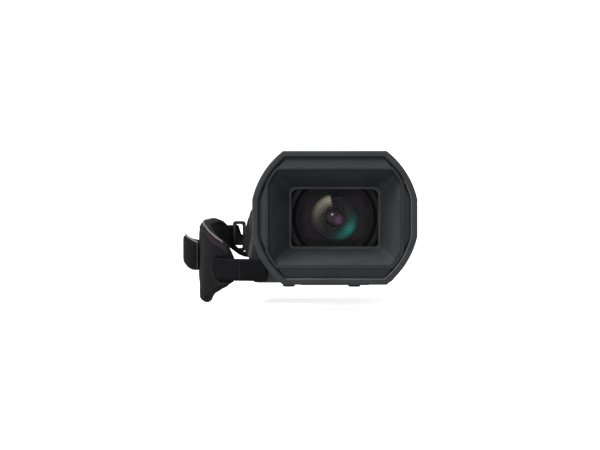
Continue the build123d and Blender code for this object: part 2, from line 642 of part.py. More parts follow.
# ---------------------------------------------------------------- boards inside
def build_boards():
    board = block(BOARD_X, BOARD_Y, BOARD_Z)
    for x, y, w, d, h in ((-20, 24, 14, 14, 1.6), (4, 28, 12, 10, 2.2), (22, 30, 16, 8, 1.4), (-24, 2, 8, 16, 2.0)):
        board += along_z(Pos(x, y) * Rectangle(w, d), BOARD_Z[1], BOARD_Z[1] + h)
    sensor = block((-24, 24), (-14, -12.4), (LENS_Z - 22, LENS_Z + 22))
    sensor += block((-7.5, 7.5), (-16, -14), (LENS_Z - 5, LENS_Z + 5))
    keep("circuit_boards", board, sensor)
    blades = [block((x, x + 0.8), (BAY_Y, BAY_Y + 0.55), (26, 34)) for x in (-4, 0, 4, 8)]
    keep("battery_contacts", *blades)
    sockets = block(shrink(JACK_X, 0.5), (GRIP_REAR - 10, GRIP_REAR - 4), shrink(JACK_Z, 1))
    for z, r in ((14, 2.6), (21, 3.2), (28, 2.6)):
        place = Pos((JACK_X[0] + JACK_X[1]) / 2, z)
        sockets += along_y(place * Circle(r + 0.9), GRIP_REAR - 5, GRIP_REAR - 3.2)
        sockets -= along_y(place * Circle(r), GRIP_REAR - 8, GRIP_REAR)
    slots = block((CARD_X[0] + 0.5, CARD_X[1] - 0.5), (BODY_REAR - 12, BODY_REAR - 4), (CARD_Z[0] + 1, CARD_Z[1] - 1))
    for x in (CARD_X[0] + 4.0, CARD_X[0] + 8.4):
        slots -= block((x, x + 2.2), (BODY_REAR - 10, BODY_REAR), (CARD_Z[0] + 8, CARD_Z[1] - 8))
    keep("connector_sockets", sockets, slots)


# ---------------------------------------------------------------- display and viewfinder
def build_display():
    x, y = LCD_AXIS
    z0, z1 = LCD_ARM_Z
    arm = along_z(Pos(x, y) * Circle(LCD_ARM_R), z0, z1)
    arm += block((x - 1.3, LCD_X[1] - 0.6), (y, LCD_Y[0]), (z0, z1))
    arm += along_z(Pos(x, y) * Circle(1.5), z0 - 5, z1 + 5)
    keep("lcd_arm", arm)
    panel = along_y(bar(LCD_X, LCD_Z, 1.0), *LCD_Y)
    panel = soften(panel, 2.5, lambda e: e.center().X > LCD_X[1] - 0.5)
    screen = block((LCD_X[0] + 0.1, LCD_X[0] + 0.9), (-9, 67), (31, 75))
    keep("lcd_frame", panel - block((LCD_X[0] - 1, LCD_X[0] + 0.9), (-9, 67), (31, 75)))
    keep("lcd_glass", screen)


def build_viewfinder():
    y, z = EVF_AXIS
    nose = EVF_NOSE_R
    profile = outline((y - nose, z + 4, 4), (y - nose, z - 6, 2), (y - 1, EVF_Z[0], 3), (EVF_REAR, EVF_Z[0], 2),
                      (EVF_REAR, EVF_Z[1], 3), (y + 14, EVF_Z[1], 6), (y - 2, z + nose, 4), (y - 5.6, z + nose - 2, 2))
    body = along_x(profile, *EVF_X)
    body = soften(body, 1.2, lambda e: abs(e.center().X - EVF_X[0]) < 0.01 or abs(e.center().X - EVF_X[1]) < 0.01)
    body += along_x(Pos(y, z) * Circle(2.0), CHANNEL_X[0] - 1.9, CHANNEL_X[1] + 1.9)
    body -= disc(EYE_BORE, 66, EVF_REAR + 1, x=EYE_X, z=EYE_Z)
    top = EVF_Z[1]
    body -= along_z(Pos(EYE_X, DIOPTER_Y) * bar((-6.6, 6.6), (-2.9, 2.9), 1.2), top - 1.5, top + 5)
    body -= along_z(Pos(EYE_X, DIOPTER_Y) * bar((-4.4, 4.4), (-1.15, 1.15), 0.5), top - 5, top)
    keep("evf_body", body)
    keep("evf_glass", Pos(EYE_X, 0, EYE_Z - LENS_Z) * lens_element(EYE_BORE - FIT, 90.0, 1.5, 95.0, -1.5))
    profile = [(11.2, EVF_REAR), (15.5, EVF_REAR), (15.0, 102.0), (16.0, 106.0), (18.5, EYECUP_REAR - 0.6),
               (18.0, EYECUP_REAR), (16.6, EYECUP_REAR), (13.6, 104.5), (11.2, 101.0)]
    cup = Pos(EYE_X, 0, EYE_Z - LENS_Z) * turned(profile)
    keep("evf_eyecup", cup)
    knob = along_z(Pos(EYE_X, DIOPTER_Y) * bar((-3.2, 3.2), (-2.7, 2.7), 1.0), top - 1.4, top + 0.9)
    for x in (-1.6, 0.0, 1.6):
        knob -= block((EYE_X + x - 0.3, EYE_X + x + 0.3), (DIOPTER_Y - 4, DIOPTER_Y + 4), (top + 0.5, top + 2))
    stem = along_z(Pos(EYE_X, DIOPTER_Y) * bar((-1.2, 1.2), (-1.1, 1.1), 0.4), top - 4.9, top)
    keep("diopter_slider", knob + stem)


def knurled(radius, teeth, depth):
    """A disc with small notches round its rim."""
    notch = Rot(0, 0, 45) * Rectangle(depth * 1.6, depth * 1.6)
    notches = Sketch() + [loc * notch for loc in PolarLocations(radius, teeth)]
    return Circle(radius) - notches


# ---------------------------------------------------------------- controls
def build_controls():
    for index, (y, z) in enumerate(BUTTON_YZ, start=1):
        button = along_x(Pos(y, z) * Circle(BUTTON_R), BODY_RIGHT - 4, BODY_RIGHT + 0.6)
        button += along_x(Pos(y, z) * Circle(BUTTON_R + 0.9), BODY_RIGHT - 4, BODY_RIGHT - WALL - 0.05)
        keep(f"user_button_{index}", soften(button, 0.4, lambda e: e.center().X > BODY_RIGHT + 0.5))
    y, z = WHEEL_YZ
    wheel = along_x(Pos(y, z) * knurled(WHEEL_R, 24, 0.4), BODY_RIGHT - 4.4, BODY_RIGHT + 0.4)
    wheel += along_x(Pos(y, z) * Circle(1.5), BODY_RIGHT - 6.0, BODY_RIGHT - 4.0)
    keep("menu_dial", wheel)
    y, z = ND_YZ
    knob = along_x(Pos(y - 4, z) * bar((-3.4, 3.4), (-2.9, 2.9), 1.0), BODY_RIGHT - 0.75, BODY_RIGHT + 0.45)
    knob += along_x(Pos(y - 4, z) * bar((-2.3, 2.3), (-1.1, 1.1), 0.5), BODY_RIGHT - 4, BODY_RIGHT)
    knob += along_x(Pos(y - 4, z) * bar((-3.2, 3.2), (-2.6, 2.6), 0.5), BODY_RIGHT - 4, BODY_RIGHT - WALL - 0.05)
    keep("nd_switch", knob)
    x, z = RECORD_XZ
    button = disc(RECORD_R, GRIP_REAR - 5.9, GRIP_REAR + 1.5, x=x, z=z)
    button += disc(RECORD_R + 1.4, GRIP_REAR - 5.9, GRIP_REAR - 4.05, x=x, z=z)
    keep("record_button", soften(button, 0.7, lambda e: e.center().Y > GRIP_REAR + 1.4))
    keep("power_switch", slider(POWER_XZ, 0))
    keep("battery_latch", slider(LATCH_XZ, 90))
    build_rocker()


def slider(place, turn):
    """Sliding button of the rear panel, parked at one end of its slot."""
    x, z = place
    spot = Pos(x, z) * Rot(0, 0, turn) * Pos(-2.5, 0)
    knob = along_y(spot * bar((-3.4, 3.4), (-2.4, 2.4), 1.5), BODY_REAR - 0.95, BODY_REAR + 0.9)
    knob += along_y(spot * bar((-2.4, 2.4), (-1.0, 1.0), 0.4), BODY_REAR - 5.5, BODY_REAR)
    knob += along_y(spot * bar((-3.2, 3.2), (-2.4, 2.4), 0.5), BODY_REAR - 5.5, BODY_REAR - 4.05)
    return knob


def build_rocker():
    x, y = ROCKER_XY
    cap = outline((y - 14.6, ROCKER_Z, 0.5), (y + 14.6, ROCKER_Z, 0.5), (y + 14.6, ROCKER_Z + 6.5, 1.5),
                  (y + 5, ROCKER_Z + 4.8, 6), (y - 5, ROCKER_Z + 4.8, 6), (y - 14.6, ROCKER_Z + 6.5, 1.5))
    rocker = along_x(cap, x - 6.8, x + 6.8)
    rocker = soften(rocker, 1.0, lambda e: e.center().Z > ROCKER_Z + 4 and abs(abs(e.center().X - x) - 6.8) < 0.01)
    rocker += along_x(Pos(y, ROCKER_Z) * Circle(2.2), x - 6.8, x + 6.8)
    rocker += along_x(Pos(y, ROCKER_Z) * Circle(1.2), x - 8.9, x + 8.9)
    keep("zoom_rocker", rocker)


def door(span_x, span_z, rear, hinge_x, skin):
    """Flush door that turns about a vertical pin along one edge; hinge_x is the pin's x."""
    depth = 2.2
    y_pin = rear - 1.2
    face = bar(shrink(span_x, 0.2), (rear - 0.1 - depth, rear - 0.1), 0.3)
    near = (hinge_x - 5, hinge_x) if hinge_x < sum(span_x) / 2 else (hinge_x, hinge_x + 5)
    face -= bar(near, (rear - 5, rear + 5), 0.1)
    face += Pos(hinge_x, y_pin) * Circle(1.15)
    leaf = along_z(face, *shrink(span_z, 0.2))
    pin = along_z(Pos(hinge_x, y_pin) * Circle(0.6), span_z[0] - 1.5, span_z[1] + 1.5)
    grip_x = span_x[1] - 2.4 if hinge_x < sum(span_x) / 2 else span_x[0] + 2.4
    nail = block((grip_x - 0.5, grip_x + 0.5), (rear - 0.6, rear + 1), shrink(span_z, skin))
    return leaf + pin - nail


def build_doors():
    keep("jack_door", door(JACK_X, JACK_Z, GRIP_REAR, JACK_X[0] + 1.4, 9))
    keep("card_door", door(CARD_X, CARD_Z, BODY_REAR, CARD_X[1] - 1.4, 20))


def build_battery():
    pack = bar(shrink(BAY_X, 0.4), shrink(BAY_Z, 0.4), 2.6)
    pack = along_y(pack, BAY_Y + 0.6, BODY_REAR + 6)
    pack = soften(pack, 1.5, lambda e: e.center().Y > BODY_REAR + 5.9)
    keep("battery_pack", pack - block((-5, 10), (BAY_Y - 1, BAY_Y + 1.2), (25, 35)))


# ---------------------------------------------------------------- hand strap
def swing_frame(point):
    """Plane whose normal is the strap's swing axis, placed at one of its two pins."""
    return Plane(origin=point, x_dir=(1, 0, 0), z_dir=Vector(*REAR_PIN) - Vector(*FRONT_PIN))


def on_axis(sketch, point, start, end):
    """Extrudes a sketch along the swing axis, measured from a pin."""
    return extrude(swing_frame(point).offset(start) * sketch, amount=end - start)


def front_lug():
    return on_axis(Circle(4.6), FRONT_PIN, 1.0, 11.0) + on_axis(Circle(PIN_R), FRONT_PIN, -2.4, 1.5)


def rear_lug():
    """Tall fin at the rear of the grip with the stud that carries the strap's ring."""
    fin = outline((-60, 18, 3), (-60, 56, 2), (-70.5, 53.5, 4), (-74, 40, 4), (-74, 26, 4), (-70, 18, 4))
    fin = along_y(fin, 70.5, 77.5)
    return fin + on_axis(Circle(PIN_R), REAR_PIN, -14.0, 2.4) + on_axis(Circle(4.2), REAR_PIN, 2.0, 3.4)


def polar(centre, radius, degrees):
    angle = math.radians(degrees)
    return (centre[0] + radius * math.cos(angle), centre[1] + radius * math.sin(angle))


def next_arc(arc, radius, end):
    """The arc that carries on smoothly from another one: (centre, radius, from, to)."""
    centre, old_radius, _, start = arc
    return (polar(centre, old_radius - radius, start), radius, start, end)


# plan of the strap, from its front end round the hand to its rear end
FINGER_ARC = ((-66.0, 9.0), 37.0, 270.0, 190.0)
BACK_ARC = next_arc(FINGER_ARC, 130.0, 166.0)
THUMB_ARC = next_arc(BACK_ARC, 38.0, 122.0)
STRAP_ARCS = (FINGER_ARC, BACK_ARC, THUMB_ARC)
STRAP_START_X = -52.0


def strap_side(shift):
    """Edges that follow the strap's plan at a distance outside its centre line."""
    front_y = STRAP_ARCS[0][0][1] - STRAP_ARCS[0][1] - shift
    edges = [Line((STRAP_START_X, front_y), (STRAP_ARCS[0][0][0], front_y))]
    for centre, radius, start, end in STRAP_ARCS:
        points = [polar(centre, radius + shift, a) for a in (start, (start + end) / 2, end)]
        edges.append(ThreePointArc(*points))
    return edges


def strap_band(inner, outer):
    """Plan of a layer of the strap between two distances from its centre line."""
    near, far = strap_side(inner), strap_side(outer)
    caps = [Line(near[0] @ 0, far[0] @ 0), Line(near[-1] @ 1, far[-1] @ 1)]
    return make_face(near + far + caps)


def strap_layer(inner, outer, side_view):
    return along_z(strap_band(inner, outer), -40, 80) & along_x(side_view, -140, -45)


def cushion_view():
    return outline((-25.5, 3, 2), (-18, -4, 6), (-10, -8, 4), (-3, -13, 3), (6, -12.5, 6), (18, -3, 12), (45, 6, 30),
                   (69, 15, 8), (76, 27, 3), (77, 45, 3), (66, 52, 8), (50, 50, 20), (0, 45.6, 20),
                   (-13, 39.6, 12), (-23, 31, 6), (-25.5, 21, 3))


def belt_view():
    return outline((-35, 3.3, 0), (-6, 3.8, 20), (30, 11, 30), (68, 27.5, 20), (90, 27.5, 0),
                   (90, 46.5, 0), (68, 46.5, 20), (30, 30.5, 30), (-6, 22, 20), (-35, 21.5, 0))


def flap_view():
    return outline((2, 10, 2), (26, 10, 10), (46, 18, 10), (68, 25, 3), (68, 43, 3), (40, 38.5, 10), (2, 31.5, 2))


def build_strap():
    keep("strap_lugs", front_lug(), rear_lug())
    pad = strap_layer(-CUSHION - 0.1, -0.1, cushion_view())
    keep("strap_pad", pad - block((-79, -40), (-40, 0), (-40, 80)))
    keep("strap_belt", strap_layer(0.0, BELT, belt_view()))
    cover = cushion_view() - Pos(-80, 0) * Rectangle(126, 200)
    keep("strap_cover", strap_layer(BELT + 0.1, BELT + 2.4, cover))
    outer_arc = [(-108.1, 4), (-120.5, 36), (-107.0, 66)]
    inner_arc = [(-108.1, 7), (-117.6, 36), (-107.0, 63)]
    band = make_face([ThreePointArc(*outer_arc), Line(outer_arc[2], inner_arc[2]),
                      ThreePointArc(*inner_arc), Line(inner_arc[0], outer_arc[0])])
    keep("strap_flap", along_z(band, -10, 60) & along_x(flap_view(), -140, -90))
    eyelet = on_axis(Circle(4.6) - Circle(PIN_R + FIT), FRONT_PIN, -2.4, 0.7)
    plate = block((-66, -54), (-29, -26.9), (5, 20)) - on_axis(Circle(4.0), FRONT_PIN, -9, 9)
    keep("strap_rings", (eyelet + plate) & half_space("y", -27.95, 0), strap_ring())


def strap_ring():
    """Rear loop: the belt passes its outer bar, and an eyelet on its inner bar turns on the lug."""
    loop = bar((-84.2, -73.4), (24.6, 49.4), 2.5) - bar((-81.6, -76.0), (27.2, 46.8), 1.5)
    loop = along_y(loop, 81.6, 84.4)
    eyelet = on_axis(Circle(4.8), REAR_PIN, -5.4, 0.4)
    return loop + eyelet - on_axis(Circle(PIN_R + FIT), REAR_PIN, -9, 6)


def write():
    os.makedirs("parts", exist_ok=True)
    for name, shape in PARTS.items():
        export_step(shape, f"parts/{name}.step")


build_hood()
build_lens()
build_rings()
build_case()
build_base()
build_top()
build_boards()
build_display()
build_viewfinder()
build_controls()
build_doors()
build_battery()
build_strap()
write()
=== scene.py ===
"""Looks of the camcorder: materials for the CAD nodes, lens coatings and the soft hand strap.

Everything is in metres in the row's frame: +X display side, +Y viewfinder end, +Z up.
"""

import math

import bmesh
import bpy
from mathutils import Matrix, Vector


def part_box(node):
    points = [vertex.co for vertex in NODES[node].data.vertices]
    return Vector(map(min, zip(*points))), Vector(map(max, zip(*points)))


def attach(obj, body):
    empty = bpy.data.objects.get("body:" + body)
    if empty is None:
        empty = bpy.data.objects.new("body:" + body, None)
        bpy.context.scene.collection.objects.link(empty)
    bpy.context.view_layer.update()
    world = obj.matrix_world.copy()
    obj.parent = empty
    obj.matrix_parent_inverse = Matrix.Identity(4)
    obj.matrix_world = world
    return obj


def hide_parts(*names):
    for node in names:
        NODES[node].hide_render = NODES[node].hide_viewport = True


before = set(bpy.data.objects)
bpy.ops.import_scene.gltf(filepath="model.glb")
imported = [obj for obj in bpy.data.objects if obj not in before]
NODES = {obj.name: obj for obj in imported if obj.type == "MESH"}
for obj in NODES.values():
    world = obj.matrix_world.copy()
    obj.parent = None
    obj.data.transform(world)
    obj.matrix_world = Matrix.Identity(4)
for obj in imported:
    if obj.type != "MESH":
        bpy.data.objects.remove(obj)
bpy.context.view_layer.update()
MM = 0.001


def middle(node):
    low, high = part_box(node)
    return (Vector(low) + Vector(high)) / 2


# ---------------------------------------------------------------- places taken from the frame
LENS_Z = middle("lens_barrel").z
HOOD_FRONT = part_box("hood_shell")[0][1]
FLOOR_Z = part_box("strap_pad")[0][2] - 1.0 * MM
RIDGE_HALF = (46.7 * MM, 33.7 * MM)     # ridge between the hood's outer band and its funnel
RIDGE_RADIUS = 52.3 * MM
LIP_HALF = (53.9 * MM, 42.9 * MM)       # inner corner of the hood's lip
LIP_RADIUS = 55.3 * MM


# ---------------------------------------------------------------- camera, light, floor
def make_camera():
    """Looks along the lens axis from the front, with the axis a little right of and above the middle."""
    distance = 1.300                    # from the hood's front
    field = 0.420                       # width seen at the hood's front
    data = bpy.data.cameras.new("camera")
    data.sensor_width = 36.0
    data.lens = data.sensor_width * distance / field
    data.clip_start, data.clip_end = 0.05, 30.0
    camera = bpy.data.objects.new("camera", data)
    bpy.context.collection.objects.link(camera)
    place = Vector((0.0, HOOD_FRONT - distance, LENS_Z))
    aim = Vector((-0.0243, HOOD_FRONT, LENS_Z - 0.005))
    camera.location = place
    camera.rotation_euler = (aim - place).to_track_quat("-Z", "Y").to_euler()
    bpy.context.scene.camera = camera


def area_light(name, place, target, size, power, color=(1, 1, 1), mirrored=True):
    data = bpy.data.lights.new(name, "AREA")
    data.shape = "RECTANGLE"
    data.size, data.size_y = size
    data.energy = power
    data.color = color
    light = bpy.data.objects.new(name, data)
    bpy.context.collection.objects.link(light)
    light.location = place
    light.visible_glossy = mirrored
    light.rotation_euler = (Vector(target) - Vector(place)).to_track_quat("-Z", "Y").to_euler()


def make_studio():
    """Dim surround, a large key light from the upper left, a side fill and a front fill without glints."""
    world = bpy.data.worlds.new("studio")
    bpy.context.scene.world = world
    world.use_nodes = True
    background = world.node_tree.nodes["Background"]
    background.inputs["Color"].default_value = (1, 1, 1, 1)
    background.inputs["Strength"].default_value = 0.55
    bpy.context.scene.view_settings.view_transform = "Standard"
    target = (0, -0.05, LENS_Z)
    area_light("key", (-0.55, -0.78, 1.40), target, (0.9, 0.7), 27, (1.0, 0.99, 0.97))
    area_light("fill", (-1.3, -0.9, 0.25), target, (0.6, 0.9), 5, (0.97, 0.99, 1.0))
    area_light("front", (-0.5, -2.1, 0.0), target, (0.5, 0.5), 11, mirrored=False)


def white_sheet(name, corners, glow):
    """White paper of the studio, which lights nothing and is not mirrored in the object."""
    mesh = bpy.data.meshes.new(name)
    mesh.from_pydata(corners, [], [(0, 1, 2, 3)])
    sheet = bpy.data.objects.new(name, mesh)
    bpy.context.collection.objects.link(sheet)
    material = bpy.data.materials.new(name + "_paper")
    material.use_nodes = True
    shader = material.node_tree.nodes["Principled BSDF"]
    shader.inputs["Base Color"].default_value = (0.9, 0.9, 0.9, 1)
    shader.inputs["Roughness"].default_value = 0.9
    shader.inputs["Specular IOR Level"].default_value = 0.0
    shader.inputs["Emission Color"].default_value = (1, 1, 1, 1)
    shader.inputs["Emission Strength"].default_value = glow
    mesh.materials.append(material)
    sheet.visible_diffuse = False
    sheet.visible_glossy = False


def make_floor():
    side, front, back, bottom, top = 8.0, -4.0, 4.0, -1.0, 6.0
    ground = [(-side, front), (side, front), (side, back), (-side, back)]
    wall = [(-side, bottom), (side, bottom), (side, top), (-side, top)]
    white_sheet("floor", [(x, y, FLOOR_Z) for x, y in ground], 0.8)
    white_sheet("backdrop", [(x, back, z) for x, z in wall], 1.0)


make_camera()
make_studio()
make_floor()


# ---------------------------------------------------------------- materials
class Shader:
    """A material with a Principled shader, and short helpers to build its node detail."""

    def __init__(self, name, color, roughness, **sockets):
        self.material = bpy.data.materials.new(name)
        self.material.use_nodes = True
        self.tree = self.material.node_tree
        self.main = self.tree.nodes["Principled BSDF"]
        self.main.inputs["Base Color"].default_value = (*color, 1)
        self.main.inputs["Roughness"].default_value = roughness
        for socket, value in sockets.items():
            self.main.inputs[socket.replace("_", " ")].default_value = value
        self.color = color
        self.roughness = roughness

    def node(self, kind, **settings):
        node = self.tree.nodes.new(kind)
        for key, value in settings.items():
            setattr(node, key, value)
        return node

    def link(self, source, target):
        self.tree.links.new(source, target)

    def coords(self, scale=(1, 1, 1), shift=(0, 0, 0), uv=False):
        source = self.node("ShaderNodeTexCoord").outputs["UV" if uv else "Object"]
        mapping = self.node("ShaderNodeMapping")
        mapping.inputs["Scale"].default_value = scale
        mapping.inputs["Location"].default_value = shift
        self.link(source, mapping.inputs["Vector"])
        return mapping.outputs["Vector"]

    def noise(self, size, detail=2.0, vector=None):
        """Noise whose blobs are about size metres across."""
        node = self.node("ShaderNodeTexNoise")
        node.inputs["Scale"].default_value = 1.0 / size
        node.inputs["Detail"].default_value = detail
        self.link(vector or self.coords(), node.inputs["Vector"])
        return node.outputs["Fac"]

    def ramp(self, value, low, high, start=0.35, end=0.65):
        node = self.node("ShaderNodeValToRGB")
        first, last = node.color_ramp.elements
        first.position, last.position = start, end
        first.color, last.color = (*low, 1), (*high, 1)
        self.link(value, node.inputs["Fac"])
        return node.outputs["Color"]

    def vary(self, size=12 * MM, amount=0.18, rough=0.08):
        """Lets the colour and the roughness drift a little over the surface."""
        fac = self.noise(size, 4.0)
        low = [c * (1 - amount) for c in self.color]
        high = [c * (1 + amount) for c in self.color]
        self.link(self.ramp(fac, low, high), self.main.inputs["Base Color"])
        span = self.node("ShaderNodeMapRange")
        span.inputs["To Min"].default_value = self.roughness - rough
        span.inputs["To Max"].default_value = self.roughness + rough
        self.link(self.noise(size * 0.4, 3.0), span.inputs["Value"])
        self.link(span.outputs["Result"], self.main.inputs["Roughness"])
        return self

    def bump(self, height, depth, strength=1.0, edge=0.0):
        """Bumps the surface by height; edge rounds sharp edges over that radius in metres."""
        node = self.node("ShaderNodeBump")
        node.inputs["Distance"].default_value = depth
        node.inputs["Strength"].default_value = strength
        self.link(height, node.inputs["Height"])
        if edge:
            bevel = self.node("ShaderNodeBevel", samples=4)
            bevel.inputs["Radius"].default_value = edge
            self.link(bevel.outputs["Normal"], node.inputs["Normal"])
        self.link(node.outputs["Normal"], self.main.inputs["Normal"])
        return self

    def math(self, a, b, operation="ADD"):
        node = self.node("ShaderNodeMath", operation=operation)
        for value, socket in ((a, node.inputs[0]), (b, node.inputs[1])):
            if isinstance(value, (int, float)):
                socket.default_value = value
            else:
                self.link(value, socket)
        return node.outputs["Value"]

    def length(self, vector):
        node = self.node("ShaderNodeVectorMath", operation="LENGTH")
        self.link(vector, node.inputs[0])
        return node.outputs["Value"]

    def mix(self, a, b, blend):
        """Two colours added or multiplied."""
        node = self.node("ShaderNodeMix", data_type="RGBA", blend_type=blend)
        node.inputs["Factor"].default_value = 1.0
        self.link(a, node.inputs["A"])
        self.link(b, node.inputs["B"])
        return node.outputs["Result"]

    def stops(self, value, colors):
        """A colour ramp from (place, colour) pairs."""
        node = self.node("ShaderNodeValToRGB")
        elements = node.color_ramp.elements
        for index, (place, color) in enumerate(colors):
            element = elements[index] if index < 2 else elements.new(place)
            element.position = place
            element.color = (*color, 1)
        self.link(value, node.inputs["Fac"])
        return node.outputs["Color"]


def plastic(name, color, roughness=0.5, grain=0.35 * MM, depth=0.03 * MM, edge=0.35 * MM, **sockets):
    shader = Shader(name, color, roughness, **sockets).vary()
    return shader.bump(shader.noise(grain, 2.0), depth, 0.6, edge).material


def hood_with_painted_light(name, band, funnel):
    """Satin moulding with painted light and shade: the band outside the ridge is painted darker and the
    funnel inside it lighter, standing in for the light that falls into the funnel.
    """
    shader = Shader(name, band, 0.45)
    place = shader.node("ShaderNodeSeparateXYZ")
    shader.link(shader.coords(shift=(0, 0, -LENS_Z)), place.inputs[0])
    reach = None
    for axis, half in zip(("X", "Z"), RIDGE_HALF):
        share = shader.math(shader.math(place.outputs[axis], 0, "ABSOLUTE"), half, "DIVIDE")
        reach = share if reach is None else shader.math(reach, share, "MAXIMUM")
    radius = shader.length(shader.coords(scale=(1, 0, 1), shift=(0, 0, -LENS_Z)))
    reach = shader.math(reach, shader.math(radius, RIDGE_RADIUS, "DIVIDE"), "MAXIMUM")
    drift = shader.noise(12 * MM, 4.0)
    blend = shader.node("ShaderNodeMix", data_type="RGBA")
    shader.link(shader.ramp(reach, (0, 0, 0), (1, 1, 1), 0.97, 1.0), blend.inputs["Factor"])
    for side, color in (("A", funnel), ("B", band)):
        tones = shader.ramp(drift, [c * 0.86 for c in color], [c * 1.14 for c in color])
        shader.link(tones, blend.inputs[side])
    shader.link(blend.outputs["Result"], shader.main.inputs["Base Color"])
    return shader.bump(shader.noise(0.3 * MM, 2.0), 0.02 * MM, 0.6, 0.4 * MM).material


def rubber(name, color=(0.017, 0.017, 0.018)):
    shader = Shader(name, color, 0.72, Specular_IOR_Level=0.35).vary(8 * MM, 0.25, 0.08)
    return shader.bump(shader.noise(0.25 * MM, 3.0), 0.05 * MM, 0.8, 0.3 * MM).material


def anodised(name, color, roughness=0.38):
    shader = Shader(name, color, roughness, Metallic=0.75).vary(6 * MM, 0.12, 0.06)
    return shader.bump(shader.noise(0.12 * MM, 2.0), 0.01 * MM, 0.5, 0.25 * MM).material


def bare_metal(name, color, roughness=0.3):
    """Brushed metal: fine streaks along Y."""
    shader = Shader(name, color, roughness, Metallic=1.0).vary(5 * MM, 0.08, 0.07)
    streaks = shader.noise(1.0, 2.0, shader.coords((6000, 250, 6000)))
    return shader.bump(streaks, 0.01 * MM, 0.5, 0.2 * MM).material


def turned_black(name, pitch=0.5 * MM):
    """Matt black inside of a lens, with fine turned grooves round the lens axis."""
    shader = Shader(name, (0.012, 0.012, 0.013), 0.55, Specular_IOR_Level=0.4).vary(5 * MM, 0.3, 0.1)
    wave = shader.node("ShaderNodeTexWave", wave_type="RINGS", rings_direction="Y")
    wave.inputs["Scale"].default_value = 0.31 / pitch
    shader.link(shader.coords(shift=(0, 0, -LENS_Z)), wave.inputs["Vector"])
    return shader.bump(wave.outputs["Fac"], 0.08 * MM, 0.9).material


def coated_glass(name, tint, alpha):
    """A thin coated lens face: mostly clear, with a tinted mirror-like sheen."""
    shader = Shader(name, tint, 0.03, Metallic=1.0, Alpha=alpha)
    fac = shader.noise(6 * MM, 2.0)
    low, high = [c * 0.8 for c in tint], [min(1.0, c * 1.1) for c in tint]
    shader.link(shader.ramp(fac, low, high), shader.main.inputs["Base Color"])
    return shader.material


# painted reflections round the lens, given as glow: glint tones from its left side over the bottom, and how
# strong they are from middle to rim
PAINTED_GLINTS = (
    (0.0, (0.09, 0.09, 0.065)),
    (0.06, (0.03, 0.032, 0.028)),
    (0.16, (0.008, 0.009, 0.010)),
    (0.25, (0.004, 0.04, 0.034)),
    (0.33, (0.006, 0.16, 0.125)),
    (0.40, (0.008, 0.29, 0.225)),
    (0.47, (0.006, 0.10, 0.085)),
    (0.56, (0.006, 0.012, 0.014)),
    (0.775, (0.006, 0.007, 0.008)),
    (0.792, (0.50, 0.47, 0.35)),
    (0.86, (0.33, 0.31, 0.225)),
    (1.0, (0.09, 0.09, 0.065)),
)
RINGS = ((0.0, 0.0), (0.49, 0.0), (0.56, 0.5), (0.60, 0.2), (0.66, 0.8), (0.70, 0.35), (0.77, 1.0),
         (0.81, 0.5), (0.87, 0.9), (0.91, 0.3), (0.95, 0.6), (1.0, 0.1))


def painted_glint_glass(name, radius):
    """Coated glass in the lens with painted reflections that glow: a cream glint painted at the upper left
    and a green one at the lower right.
    """
    shader = Shader(name, (0.02, 0.02, 0.022), 0.06, Coat_Weight=0.3, Coat_Roughness=0.03)
    turn = shader.node("ShaderNodeMapping")
    turn.inputs["Rotation"].default_value = (-math.pi / 2, 0, 0)
    turn.inputs["Location"].default_value = (0, -LENS_Z, 0)
    shader.link(shader.node("ShaderNodeTexCoord").outputs["Object"], turn.inputs["Vector"])
    round_lens = shader.node("ShaderNodeTexGradient", gradient_type="RADIAL")
    shader.link(turn.outputs["Vector"], round_lens.inputs["Vector"])
    flat = shader.node("ShaderNodeMapping")
    flat.inputs["Scale"].default_value = (1 / radius, 1 / radius, 0)
    shader.link(turn.outputs["Vector"], flat.inputs["Vector"])
    glint = shader.stops(round_lens.outputs["Fac"], PAINTED_GLINTS)
    share = shader.length(flat.outputs["Vector"])
    band = shader.stops(share, [(place, (level,) * 3) for place, level in RINGS])
    # the painted glints are given as emission, so this glass glows with them
    shader.link(shader.mix(glint, band, "MULTIPLY"), shader.main.inputs["Emission Color"])
    shader.main.inputs["Emission Strength"].default_value = 1.15
    see = shader.node("ShaderNodeMapRange")
    see.inputs["To Min"].default_value = 0.12
    see.inputs["To Max"].default_value = 0.55
    shader.link(band, see.inputs["Value"])
    shader.link(see.outputs["Result"], shader.main.inputs["Alpha"])
    return shader.material


# painted glows and a painted highlight on the inner glass, given as emission: right of and above the lens
# axis in millimetres, radius, colour
PAINTED_BLOOMS = (
    (2.6, -1.4, 4.6, (0.13, 0.05, 0.12)),
    (-1.9, 2.6, 1.1, (0.80, 0.80, 0.76)),
    (-3.4, 0.5, 3.6, (0.03, 0.034, 0.028)),
)


def painted_glow_glass(name):
    """Glass far down the lens with painted light that glows: a faint purple bloom low on the right and a
    small painted highlight on the left.
    """
    shader = Shader(name, (0.006, 0.006, 0.008), 0.08, Coat_Weight=0.3, Coat_Roughness=0.05)
    glow = None
    for x, z, reach, color in PAINTED_BLOOMS:
        size = 1 / (reach * MM)
        shift = (-x * MM * size, 0, -(LENS_Z + z * MM) * size)
        away = shader.length(shader.coords((size, 0, size), shift))
        spot = shader.ramp(away, color, (0, 0, 0), 0.0, 1.0)
        glow = spot if glow is None else shader.mix(glow, spot, "ADD")
    shader.link(glow, shader.main.inputs["Emission Color"])
    shader.main.inputs["Emission Strength"].default_value = 1.0
    return shader.material


def screen_glass(name):
    shader = Shader(name, (0.008, 0.008, 0.010), 0.06, Coat_Weight=0.6, Coat_Roughness=0.02)
    return shader.vary(20 * MM, 0.2, 0.02).material


